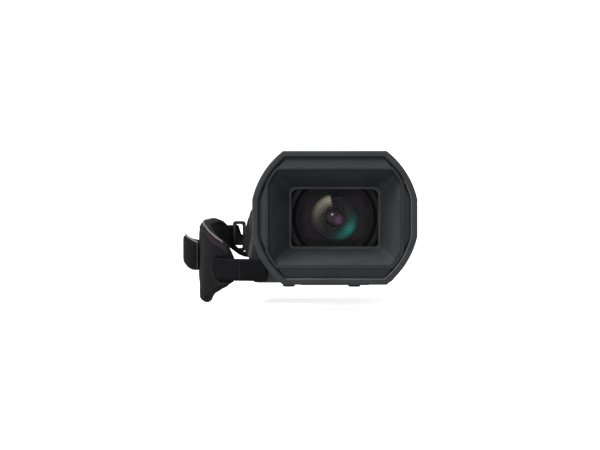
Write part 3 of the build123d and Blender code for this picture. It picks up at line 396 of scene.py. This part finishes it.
def circuit_board(name):
    shader = Shader(name, (0.012, 0.09, 0.045), 0.35)
    tracks = shader.node("ShaderNodeTexBrick")
    tracks.inputs["Scale"].default_value = 260
    tracks.inputs["Color1"].default_value = (0.010, 0.075, 0.038, 1)
    tracks.inputs["Color2"].default_value = (0.014, 0.10, 0.052, 1)
    tracks.inputs["Mortar"].default_value = (0.03, 0.16, 0.08, 1)
    shader.link(shader.coords(), tracks.inputs["Vector"])
    shader.link(tracks.outputs["Color"], shader.main.inputs["Base Color"])
    return shader.bump(tracks.outputs["Fac"], 0.05 * MM, 0.5).material


def woven(name, color, thread=0.55 * MM, roughness=0.85, sheen=0.04):
    """Padded fabric: a fine plain weave over slow colour drift."""
    gloss = {"Sheen_Weight": sheen, "Sheen_Roughness": 0.5, "Specular_IOR_Level": 0.15}
    shader = Shader(name, color, roughness, **gloss)
    fac = shader.noise(9 * MM, 4.0)
    low, high = [c * 0.75 for c in color], [c * 1.3 for c in color]
    shader.link(shader.ramp(fac, low, high), shader.main.inputs["Base Color"])
    threads = None
    for axis in ("X", "Y", "Z"):
        wave = shader.node("ShaderNodeTexWave", wave_type="BANDS", bands_direction=axis)
        wave.inputs["Scale"].default_value = 0.314 / thread
        wave.inputs["Distortion"].default_value = 0.6
        shader.link(shader.coords(), wave.inputs["Vector"])
        threads = wave.outputs["Fac"] if threads is None else shader.math(threads, wave.outputs["Fac"])
    return shader.bump(threads, 0.06 * MM, 0.7).material


def ribbed_webbing(name, color):
    """Flat woven band: ribs across it and rows of thread along it, laid out by the piece's UV map."""
    shader = Shader(name, color, 0.75, Sheen_Weight=0.015, Sheen_Roughness=0.4, Specular_IOR_Level=0.12)
    fac = shader.noise(5 * MM, 4.0)
    low, high = [c * 0.75 for c in color], [c * 1.3 for c in color]
    shader.link(shader.ramp(fac, low, high), shader.main.inputs["Base Color"])
    height = None
    for axis, size in (("X", 0.9 * MM), ("Y", 0.8 * MM)):
        wave = shader.node("ShaderNodeTexWave", wave_type="BANDS", bands_direction=axis)
        wave.inputs["Scale"].default_value = 0.314 / size
        shader.link(shader.coords(uv=True), wave.inputs["Vector"])
        rib = wave.outputs["Fac"]
        height = rib if height is None else shader.math(height, rib, "MULTIPLY")
    return shader.bump(height, 0.12 * MM, 0.8).material


HOOD = plastic("hood_satin", (0.020, 0.0215, 0.025), 0.45, 0.3 * MM, 0.02 * MM, 0.4 * MM)
# painted light on one moulding: a dark band colour, then a funnel colour painted about four times lighter
HOOD_INSIDE_PAINTED_LIGHT = hood_with_painted_light("hood_inside_painted_light", (0.0115, 0.0125, 0.015), (0.045, 0.047, 0.053))
CASE = plastic("case_matt", (0.022, 0.023, 0.025), 0.5, 0.35 * MM, 0.04 * MM, 0.4 * MM)
DARK = plastic("dark_plastic", (0.012, 0.012, 0.013), 0.45, 0.3 * MM, 0.02 * MM, 0.25 * MM)
GLOSS = plastic("gloss_plastic", (0.010, 0.010, 0.011), 0.16, 0.5 * MM, 0.005 * MM, 0.3 * MM)
LEVER = plastic("lever_grey", (0.034, 0.035, 0.038), 0.38, 0.3 * MM, 0.02 * MM, 0.4 * MM)
# painted highlight: light grey for the lit lower and right corner of the hood's lip
LIP_HIGHLIGHT = plastic("lip_painted_highlight", (0.10, 0.103, 0.108), 0.4, 0.3 * MM, 0.01 * MM, 0.1 * MM)
RED = plastic("record_red", (0.30, 0.02, 0.02), 0.3, 0.4 * MM, 0.01 * MM, 0.3 * MM)
RUBBER = rubber("soft_rubber")
BARREL = anodised("lens_anodised", (0.022, 0.022, 0.024))
STEEL = bare_metal("brushed_steel", (0.42, 0.42, 0.43))
BRASS = bare_metal("machined_brass", (0.60, 0.43, 0.18))
ALUMINIUM = anodised("base_aluminium", (0.11, 0.112, 0.118), 0.42)
TURNED = turned_black("lens_inside")
EDGE = anodised("polished_edge", (0.35, 0.35, 0.34), 0.3)
FRONT_COAT = coated_glass("front_coating", (0.10, 0.085, 0.10), 0.10)
# painted reflections that glow, for the second glass
PAINTED_GLINT_COAT = painted_glint_glass("painted_glint_coating", 17.4 * MM)
# painted glow and painted highlight for the inner glass
INNER_PAINTED_GLOW = painted_glow_glass("inner_painted_glow")
REAR_COAT = coated_glass("rear_coating", (0.20, 0.12, 0.22), 0.2)
WARM_COAT = coated_glass("warm_coating", (0.95, 0.80, 0.62), 0.12)
SCREEN = screen_glass("display_glass")
BOARD = circuit_board("circuit_board")
PAD_CLOTH = woven("pad_cloth", (0.0065, 0.007, 0.0076), sheen=0.02)
WEBBING = ribbed_webbing("strap_webbing", (0.0035, 0.0035, 0.0045))
FLAP_CLOTH = ribbed_webbing("flap_webbing", (0.0016, 0.0017, 0.0020))
BINDING = woven("binding_tape", (0.006, 0.005, 0.0055), 0.45 * MM, 0.7, 0.02)
# painted highlight: a light grey cord laid only along upper edges where the key light falls
PAINTED_HIGHLIGHT_CORD = woven("piping_painted_highlight", (0.14, 0.14, 0.145), 0.4 * MM, 0.55, 0.08)
SEAM = woven("seam_cord", (0.07, 0.07, 0.073), 0.3 * MM, 0.6, 0.03)
TAPE = woven("plum_tape", (0.024, 0.009, 0.018), 0.45 * MM, 0.7, 0.03)
THREAD = woven("thread", (0.03, 0.03, 0.032), 0.25 * MM, 0.6, 0.03)

PAINT = {
    HOOD: ("hood_shell",),
    HOOD_INSIDE_PAINTED_LIGHT: ("hood_frame",),
    CASE: ("front_bezel", "left_shell", "right_shell", "top_cover", "rear_frame", "evf_body", "lcd_frame",
           "card_door"),
    DARK: ("hood_release", "upper_shutter", "lower_shutter", "iris_unit", "evf_cradle", "mic_grilles",
           "connector_sockets", "lcd_arm", "diopter_slider", "user_button_1", "user_button_2", "menu_dial",
           "nd_switch", "power_switch", "battery_latch", "jack_door", "battery_pack", "strap_lugs"),
    GLOSS: ("zoom_rocker", "strap_rings"),
    LEVER: ("shutter_lever",),
    RED: ("record_button",),
    RUBBER: ("focus_grip", "zoom_grip", "grip_pad", "rubber_feet", "evf_eyecup"),
    BARREL: ("lens_barrel", "focus_ring", "zoom_ring"),
    TURNED: ("lens_ring", "zoom_carriage"),
    STEEL: ("guide_rods", "case_screws", "accessory_shoe"),
    BRASS: ("tripod_bush", "battery_contacts"),
    ALUMINIUM: ("base_plate",),
    BOARD: ("circuit_boards",),
    SCREEN: ("lcd_glass",),
    FRONT_COAT: ("front_glass",),
    PAINTED_GLINT_COAT: ("second_glass",),
    WARM_COAT: ("evf_glass",),
    INNER_PAINTED_GLOW: ("zoom_glass",),
    REAR_COAT: ("rear_glass",),
}


def paint(node, material):
    for material_slot in NODES[node].material_slots:
        material_slot.material = material


for material, nodes in PAINT.items():
    for node in nodes:
        paint(node, material)


# ---------------------------------------------------------------- shapes of the soft pieces
def smooth(value, low, high):
    t = max(0.0, min(1.0, (value - low) / (high - low)))
    return t * t * (3 - 2 * t)


def table(points, value):
    """Straight-line reading between (value, result) pairs."""
    if value <= points[0][0]:
        return points[0][1]
    for (v0, r0), (v1, r1) in zip(points, points[1:]):
        if value <= v1:
            return r0 + (r1 - r0) * (value - v0) / (v1 - v0)
    return points[-1][1]


# plan of the strap in millimetres: a short straight, then three arcs (centre, radius, from, to)
START_X, FRONT_Y = -52.0, -28.0
ARCS = (((-66.0, 9.0), 37.0, 270.0, 190.0), ((25.59, 25.15), 130.0, 190.0, 166.0),
        ((-63.68, 47.41), 38.0, 166.0, 122.0))
STRAIGHT = 14.0


def on_plan(s, out):
    """Point (x, y) at a length s along the strap, out outside its middle line, in millimetres."""
    if s <= STRAIGHT:
        return START_X - s, FRONT_Y - out
    s -= STRAIGHT
    for (cx, cy), radius, start, end in ARCS:
        length = radius * math.radians(start - end)
        if s <= length or end == ARCS[-1][3]:
            angle = math.radians(start) - s / radius
            return cx + (radius + out) * math.cos(angle), cy + (radius + out) * math.sin(angle)
        s -= length


def strap_point(s, out, z):
    x, y = on_plan(s, out)
    return Vector((x, y, z)) * MM


def new_piece(name, points, faces, material, uvs=None, body="hand_strap"):
    mesh = bpy.data.meshes.new(name)
    mesh.from_pydata(points, [], faces)
    mesh.validate()
    mesh.materials.append(material)
    if uvs:
        layer = mesh.uv_layers.new(name="UVMap")
        for loop in mesh.loops:
            layer.data[loop.index].uv = uvs[loop.vertex_index]
    edit = bmesh.new()
    edit.from_mesh(mesh)
    bmesh.ops.recalc_face_normals(edit, faces=edit.faces)
    edit.to_mesh(mesh)
    edit.free()
    mesh.shade_smooth()
    piece = bpy.data.objects.new(name, mesh)
    bpy.context.collection.objects.link(piece)
    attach(piece, body)
    return piece


def swept(name, rings, material, uvs=None, closed=False, body="hand_strap"):
    """A skin through rings of equal point count, with capped ends unless it closes on itself."""
    count = len(rings[0])
    points = [p for loop in rings for p in loop]
    faces = []
    steps = len(rings) if closed else len(rings) - 1
    for i in range(steps):
        a, b = i * count, ((i + 1) % len(rings)) * count
        for j in range(count):
            k = (j + 1) % count
            faces.append((a + j, a + k, b + k, b + j))
    if not closed:
        faces.append(tuple(range(count)))
        faces.append(tuple(range(len(points) - count, len(points))))
    flat = [uv for loop in uvs for uv in loop] if uvs else None
    return new_piece(name, points, faces, material, flat, body)


def tube(name, path, radius, material, body="hand_strap", closed=False, sides=8):
    """Round cord of the given radius in millimetres along a list of points."""
    rings = []
    count = len(path)
    for i, point in enumerate(path):
        before = path[(i - 1) % count] if closed or i else point
        after = path[(i + 1) % count] if closed or i < count - 1 else point
        along = (after - before).normalized()
        side = along.cross(Vector((0.3, 0.2, 0.93))).normalized()
        up = side.cross(along)
        ring = []
        for k in range(sides):
            angle = 2 * math.pi * k / sides
            ring.append(point + (side * math.cos(angle) + up * math.sin(angle)) * radius * MM)
        rings.append(ring)
    return swept(name, rings, material, closed=closed, body=body)


# ---------------------------------------------------------------- strap cushion
PAD_FROM, PAD_TO = 27.3, 144.6
# heights of the cushion's upper and lower rim, as (y, z) points from its front to its rear
PAD_TOP = [(-25.6, 22.0), (-24.8, 26.5), (-23.3, 31.0), (-20.4, 34.5), (-13.6, 39.4), (-3.6, 45.0),
           (10, 47.6), (30, 49.4), (50, 50.4), (62, 51.2), (70, 49.6), (75, 45.5), (77, 39.0)]
PAD_BOTTOM = [(-25.6, 3.2), (-23, -0.6), (-18, -4.2), (-11, -7.6), (-6.5, -10.8), (-3, -13.2), (3, -13.4),
              (7, -12.0), (18, -3.2), (30, 1.6), (45, 6.2), (60, 11.2), (69, 15.4), (74, 22.0), (77, 31.0)]
PAD_MIDDLE = -2.0


def pad_edges(s):
    y = on_plan(s, 0)[1]
    return table(PAD_BOTTOM, y), table(PAD_TOP, y)


def slit(z):
    """Length along the strap at which the belt comes out of the cover, at height z."""
    return 42.6 - 4.3 * ((z - 13.6) / 10.0) ** 2


def pad_surface(s, z, edge, side):
    """Offset of the cushion's outer (side 1) or inner (-1) face at a distance edge from its rim."""
    roll = min(1.0, edge / 7.0)
    crown = math.sqrt(max(0.0, 1 - (1 - roll) ** 2))
    if side < 0:
        return PAD_MIDDLE - 1.0 - 3.6 * crown
    lip = slit(z)
    window = smooth(z, 1.6, 3.4) * (1 - smooth(z, 20.6, 23.2)) * (1 - smooth(s, lip - 0.6, lip + 0.6))
    full = 0.4 + 2.6 * smooth(s, lip - 7, lip + 9)
    full += 0.35 * math.sin(s * 0.23 + z * 0.11) * smooth(s, 50, 60)
    level = PAD_MIDDLE + 1.0 + (full - PAD_MIDDLE - 1.0) * crown
    return level + (min(-1.5, level) - level) * window


def pad_mesh():
    along, across = 84, 34
    outer, inner = [], []
    for i in range(along + 1):
        s = PAD_FROM + (PAD_TO - PAD_FROM) * i / along
        low, high = pad_edges(s)
        for j in range(across + 1):
            z = low + (high - low) * j / across
            edge = min(z - low, high - z, s - PAD_FROM, PAD_TO - s)
            outer.append(strap_point(s, pad_surface(s, z, edge, 1), z))
            inner.append(strap_point(s, pad_surface(s, z, edge, -1), z))
    row = across + 1
    count = len(outer)
    faces = []
    for i in range(along):
        for j in range(across):
            a = i * row + j
            faces.append((a, a + 1, a + row + 1, a + row))
            faces.append((count + a, count + a + row, count + a + row + 1, count + a + 1))
    rim = [j for j in range(row)] + [i * row + across for i in range(1, along + 1)]
    rim += [along * row + j for j in range(across - 1, -1, -1)] + [i * row for i in range(along - 1, 0, -1)]
    for a, b in zip(rim, rim[1:] + rim[:1]):
        faces.append((a, a + count, b + count, b))
    return outer + inner, faces


def apply_modifiers(piece):
    graph = bpy.context.evaluated_depsgraph_get()
    baked = bpy.data.meshes.new_from_object(piece.evaluated_get(graph))
    piece.modifiers.clear()
    piece.data = baked


def inflate(piece, travel, held):
    """Applied cloth simulation: the closed skin is blown up a little, held where held(point) is true."""
    remesh = piece.modifiers.new("remesh", "REMESH")
    remesh.mode = "VOXEL"
    remesh.voxel_size = 1.5 * MM
    apply_modifiers(piece)
    mesh = piece.data
    start = [v.co.copy() for v in mesh.vertices]
    pins = piece.vertex_groups.new(name="pins")
    pins.add([v.index for v in mesh.vertices if held(v.co)], 1.0, "REPLACE")
    cloth = piece.modifiers.new("cloth", "CLOTH")
    settings = cloth.settings
    settings.quality = 6
    settings.mass = 0.1
    settings.tension_stiffness = 8
    settings.compression_stiffness = 8
    settings.bending_stiffness = 0.2
    settings.use_pressure = True
    settings.uniform_pressure_force = 4.0
    settings.effector_weights.gravity = 0.0
    settings.vertex_group_mass = "pins"
    cloth.point_cache.frame_start, cloth.point_cache.frame_end = 1, 20
    for step in range(1, 21):
        bpy.context.scene.frame_set(step)
    apply_modifiers(piece)
    bpy.context.scene.frame_set(1)
    mesh = piece.data
    for vertex, origin in zip(mesh.vertices, start):
        shift = vertex.co - origin
        if shift.length > travel:
            vertex.co = origin + shift * (travel / shift.length)
    fine = piece.modifiers.new("fine", "SUBSURF")
    fine.levels = fine.render_levels = 1
    apply_modifiers(piece)
    piece.data.shade_smooth()


def strap_place(point):
    """Length along the strap and offset from its middle line of a point in metres, by nearest arc."""
    x, y = point.x / MM, point.y / MM
    s = STRAIGHT
    for (cx, cy), radius, start, end in ARCS:
        angle = math.degrees(math.atan2(y - cy, x - cx)) % 360
        if angle >= end - 1e-6 and angle <= start + 1e-6:
            return s + radius * math.radians(start - angle), math.hypot(x - cx, y - cy) - radius
        s += radius * math.radians(start - end)
    return (0.0 if x > -60 else s), 0.0


def seam_held(point):
    """Seams: a rim round the cushion, the belt's window and the lips of the slit."""
    s, out = strap_place(point)
    z = point.z / MM
    low, high = pad_edges(max(PAD_FROM, min(PAD_TO, s)))
    rim = min(z - low, high - z, s - PAD_FROM, PAD_TO - s) < 4.5
    return rim or (out > -2.5 and 1 < z < 24 and s < slit(z) + 3.0)


points, faces = pad_mesh()
cushion = new_piece("strap_cushion", points, faces, PAD_CLOTH)
inflate(cushion, 1.2 * MM, seam_held)
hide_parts("strap_pad", "strap_cover")


def between(a, b, step):
    """Points between two (length, height) pairs, about step apart in height."""
    count = max(2, int(abs(a[1] - b[1]) / step))
    return [(a[0] + (b[0] - a[0]) * k / count, a[1] + (b[1] - a[1]) * k / count) for k in range(1, count)]


def rim_path(step=1.5):
    """Closed path round the cushion's rim, as (length, height) pairs."""
    count = int((PAD_TO - PAD_FROM) / step)
    lengths = [PAD_FROM + (PAD_TO - PAD_FROM) * i / count for i in range(count + 1)]
    top = [(s, pad_edges(s)[1]) for s in lengths]
    bottom = [(s, pad_edges(s)[0]) for s in reversed(lengths)]
    return top + between(top[-1], bottom[0], step) + bottom + between(bottom[-1], top[0], step)


def front_tape():
    """Plum tape on the cushion's outer face, below the front part of its upper rim."""
    rings = []
    for i in range(31):
        s = PAD_FROM + 3 + 1.2 * i
        top = pad_edges(s)[1]
        wide = 4.2 * (1 - 0.8 * smooth(i, 8, 26))
        profile = ((0.8, 0.25), (0.8 + wide * 0.5, 0.95), (0.8 + wide, 0.35), (0.8 + wide * 0.5, -0.4))
        ring = []
        for inset, lift in profile:
            ring.append(strap_point(s, pad_surface(s, top - inset, inset, 1) + lift, top - inset))
        rings.append(ring)
    swept("front_tape", rings, TAPE)


def binding():
    """Tape folded over the cushion's rim, with a light cord and a seam along its upper edge; the cord's
    light grey is a painted highlight where the key light falls on the upper rim.
    """
    half = 3.2
    # (distance from the rim, outer 1 or inner -1 face, height over that face) round the tape's section
    profile = ((half, 1, 0.35), (1.4, 1, 0.45), (0.2, 1, 0.35), (-0.5, 1, -0.2), (-0.7, 0, 0),
               (-0.5, -1, -0.2), (0.2, -1, 0.35), (1.4, -1, 0.45), (half, -1, 0.35),
               (half - 0.4, -1, -0.5), (half - 0.4, 1, -0.5))
    centre_s = (PAD_FROM + PAD_TO) / 2
    rings = []
    for s, z in rim_path():
        low, high = pad_edges(s)
        pull = Vector((centre_s - s, (low + high) / 2 - z))
        ends = min(s - PAD_FROM, PAD_TO - s)
        sides = min(z - low, high - z)
        if sides <= ends:
            pull.x *= 0.02
        else:
            pull.y *= 0.02
        pull.normalize()
        ring = []
        for inset, side, lift in profile:
            ps, pz = s + pull.x * inset, z + pull.y * inset
            if side:
                out = pad_surface(ps, pz, max(0.0, inset), side) + side * lift
            else:
                out = PAD_MIDDLE
            ring.append(strap_point(ps, out, pz))
        rings.append(ring)
    swept("strap_binding", rings, BINDING, closed=True)
    # painted highlight along the upper rim only, as a light grey cord
    top = [PAD_FROM + 8 + 1.5 * i for i in range(62)]
    cord = [strap_point(s, PAD_MIDDLE + 1.7, pad_edges(s)[1] + 0.3) for s in top]
    tube("strap_painted_highlight", cord, 0.8, PAINTED_HIGHLIGHT_CORD)
    lower = [PAD_FROM + 30 + 1.5 * i for i in range(34)]
    seam = [strap_point(s, 2.5, pad_edges(s)[1] - 3.4) for s in lower]
    tube("strap_seam", seam, 0.4, SEAM)


binding()
front_tape()


# ---------------------------------------------------------------- strap belt and flap
BELT_TOP = [(-28, 20.6), (-6, 21.6), (30, 30.5), (68, 46.0), (84, 46.2)]
BELT_BOTTOM = [(-28, 3.6), (-6, 4.4), (30, 11.4), (68, 28.0), (84, 28.2)]


def belt():
    end = STRAIGHT + sum(radius * math.radians(a - b) for _, radius, a, b in ARCS)
    count = 110
    rings, uvs = [], []
    for i in range(count + 1):
        s = end * i / count
        y = on_plan(s, 0)[1]
        low, high = table(BELT_BOTTOM, y), table(BELT_TOP, y)
        ring, uv = [], []
        rows = 10
        for side in (1, -1):
            for k in range(rows + 1):
                t = k / rows if side > 0 else 1 - k / rows
                edge = min(t, 1 - t) * (high - low)
                thick = 0.45 + 0.35 * min(1.0, edge / 0.8)
                ring.append(strap_point(s, 0.8 + side * thick, low + (high - low) * t))
                uv.append((s * MM, t * (high - low) * MM))
        rings.append(ring)
        uvs.append(uv)
    piece = swept("strap_webbing", rings, WEBBING, uvs)
    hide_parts("strap_belt")


def stitches(name, path, length=1.5, radius=0.28):
    """A row of short raised stitches along a list of points, joined in one piece."""
    points, faces = [], []
    for start, end in zip(path[::2], path[1::2]):
        along = (end - start).normalized()
        middle_point = (start + end) / 2
        side = along.cross(Vector((0.3, 0.2, 0.93))).normalized()
        up = side.cross(along)
        base = len(points)
        for t, r in ((-1, 0.35), (-0.6, 0.9), (0.6, 0.9), (1, 0.35)):
            for k in range(6):
                angle = math.pi * k / 3
                spot = middle_point + along * (t * length / 2 * MM)
                points.append(spot + (side * math.cos(angle) + up * math.sin(angle)) * r * radius * MM)
        for ring in range(3):
            for k in range(6):
                a, b = base + ring * 6 + k, base + ring * 6 + (k + 1) % 6
                faces.append((a, b, b + 6, a + 6))
        faces.append(tuple(base + k for k in range(6)))
        faces.append(tuple(base + 18 + k for k in range(6)))
    return new_piece(name, points, faces, THREAD)


belt()
stitches("belt_stitches", [strap_point(20.6, 1.75, 4.2 + 0.85 * k) for k in range(20)])
stitches("cover_stitches", [strap_point(slit(2.6 + k) + 1.5, 3.4, 2.6 + k) for k in range(22)])


def flap():
    """Hook-and-loop end: a thick band bowed out from the cushion, closed and rounded at its edges."""
    front_x, front_y = -107.3, 3.5
    rear_x, rear_y = -106.4, 66.5
    bulge_x = -119.0
    bottom = [(3, 11.0), (10, 11.2), (18, 12.8), (26, 15.4), (36, 18.8), (46, 21.5), (66, 26.0)]
    top = [(3, 32.8), (10, 34.6), (24, 37.6), (33, 38.6), (40, 38.0), (52, 35.4), (66, 33.5)]
    count, rows = 40, 12
    rings, uvs, top_edge = [], [], []
    for i in range(count + 1):
        t = i / count
        y = front_y + (rear_y - front_y) * t
        end_x = front_x if t < 0.5 else rear_x
        x = bulge_x + (end_x - bulge_x) * (2 * t - 1) ** 2
        low, high = table(bottom, y), table(top, y)
        slope = (front_x - bulge_x) * 4 * (2 * t - 1) / (rear_y - front_y)
        normal = Vector((-1, slope)).normalized()
        end = 0.6 + min(t, 1 - t) * 62
        ring, uv = [], []
        for side in (1, -1):
            for k in range(rows + 1):
                v = k / rows if side > 0 else 1 - k / rows
                edge = min(v, 1 - v) * (high - low)
                roll = min(1.0, min(edge, end) / 3.0)
                thick = 0.5 + 1.7 * math.sqrt(max(0.0, 1 - (1 - roll) ** 2))
                out = normal * thick * side
                ring.append(Vector((x + out.x, y + out.y, low + (high - low) * v)) * MM)
                uv.append((y * MM, v * (high - low) * MM))
        rings.append(ring)
        uvs.append(uv)
        if y < 34:
            top_edge.append(Vector((x, y, high - 0.1)) * MM)
        if i == 0:
            heights = [low + (high - low) * k / rows for k in range(rows + 1)]
            front_edge = [Vector((x - 0.4, y - 0.4, z)) * MM for z in heights]
    piece = swept("strap_flap_band", rings, FLAP_CLOTH, uvs)
    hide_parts("strap_flap")
    tube("flap_piping", front_edge, 0.4, SEAM)
    # painted highlight along the flap's rounded top, front part only, as a light grey cord
    tube("flap_top_painted_highlight", top_edge, 0.8, PAINTED_HIGHLIGHT_CORD)


flap()


def ring_tongue():
    """Folded end of the belt that fills the lower part of the ring's window."""
    outline = [(-82.2, 29.4), (-75.4, 29.4), (-75.4, 38.2), (-77.2, 38.6),
               (-79.3, 45.4), (-80.2, 46.2), (-82.2, 46.2)]
    middle_x, middle_z = -79.0, 36.0
    rings = []
    for y, shrink in ((81.9, 0.5), (81.5, 0.15), (81.3, 0.0), (84.7, 0.0), (84.5, 0.15), (84.1, 0.5)):
        ring = []
        for x, z in outline:
            dx, dz = middle_x - x, middle_z - z
            size = math.hypot(dx, dz)
            ring.append(Vector((x + dx / size * shrink, y, z + dz / size * shrink)) * MM)
        rings.append(ring)
    swept("ring_tongue", rings, WEBBING)


def strap_tail():
    """Loose end of the rear webbing, from the cushion to the foot of the ring."""
    line = [(-90.5, 75.5, 34.5), (-87.0, 78.0, 31.2), (-83.0, 79.6, 27.6),
            (-79.0, 80.2, 24.4), (-75.2, 80.2, 22.4), (-71.6, 80.0, 21.4)]
    rings, uvs = [], []
    for i, (x, y, z) in enumerate(line):
        half = 3.4 - 0.3 * i
        ring, uv = [], []
        for side in (0.7, -0.7):
            for k in range(7):
                t = (k / 3 - 1) * (1 if side > 0 else -1)
                ring.append(Vector((x, y + side * math.sqrt(max(0.1, 1 - t ** 4)), z + t * half)) * MM)
                uv.append((i * 4 * MM, t * half * MM))
        rings.append(ring)
        uvs.append(uv)
    swept("strap_tail", rings, WEBBING, uvs)


def lip_glint():
    """Painted highlight: a light grey cord on the corner of the hood's lip, along its lower and right sides
    only, where the key light falls.
    """
    half_w, half_h = LIP_HALF
    path = []
    for k in range(90):
        angle = math.radians(-128 + 1.75 * k)
        across, up = math.cos(angle), math.sin(angle)
        reach = min(LIP_RADIUS, half_w / max(1e-6, abs(across)), half_h / max(1e-6, abs(up)))
        path.append(Vector((reach * across, HOOD_FRONT + 0.45 * MM, LENS_Z + reach * up)))
    tube("lip_glint", path, 0.26, LIP_HIGHLIGHT, body="lens_hood")


def lens_rings():
    """Polished edge of the inner stop and the turned steps of the cone in front of it."""
    centre = Vector((0, 0, LENS_Z))
    rings = (
        ("stop_ring", 7.9, -76.0, 0.32, EDGE),
        ("cone_ring_a", 9.9, -77.4, 0.16, DARK),
        ("cone_ring_b", 12.0, -79.6, 0.16, DARK),
        ("cone_ring_c", 14.4, -82.0, 0.16, DARK),
    )
    for name, radius, y, thick, material in rings:
        path = []
        for k in range(72):
            angle = 2 * math.pi * k / 72
            path.append(centre + Vector((radius * math.cos(angle), y, radius * math.sin(angle))) * MM)
        tube(name, path, thick, material, body="camera", closed=True)


lip_glint()
lens_rings()
ring_tongue()
strap_tail()
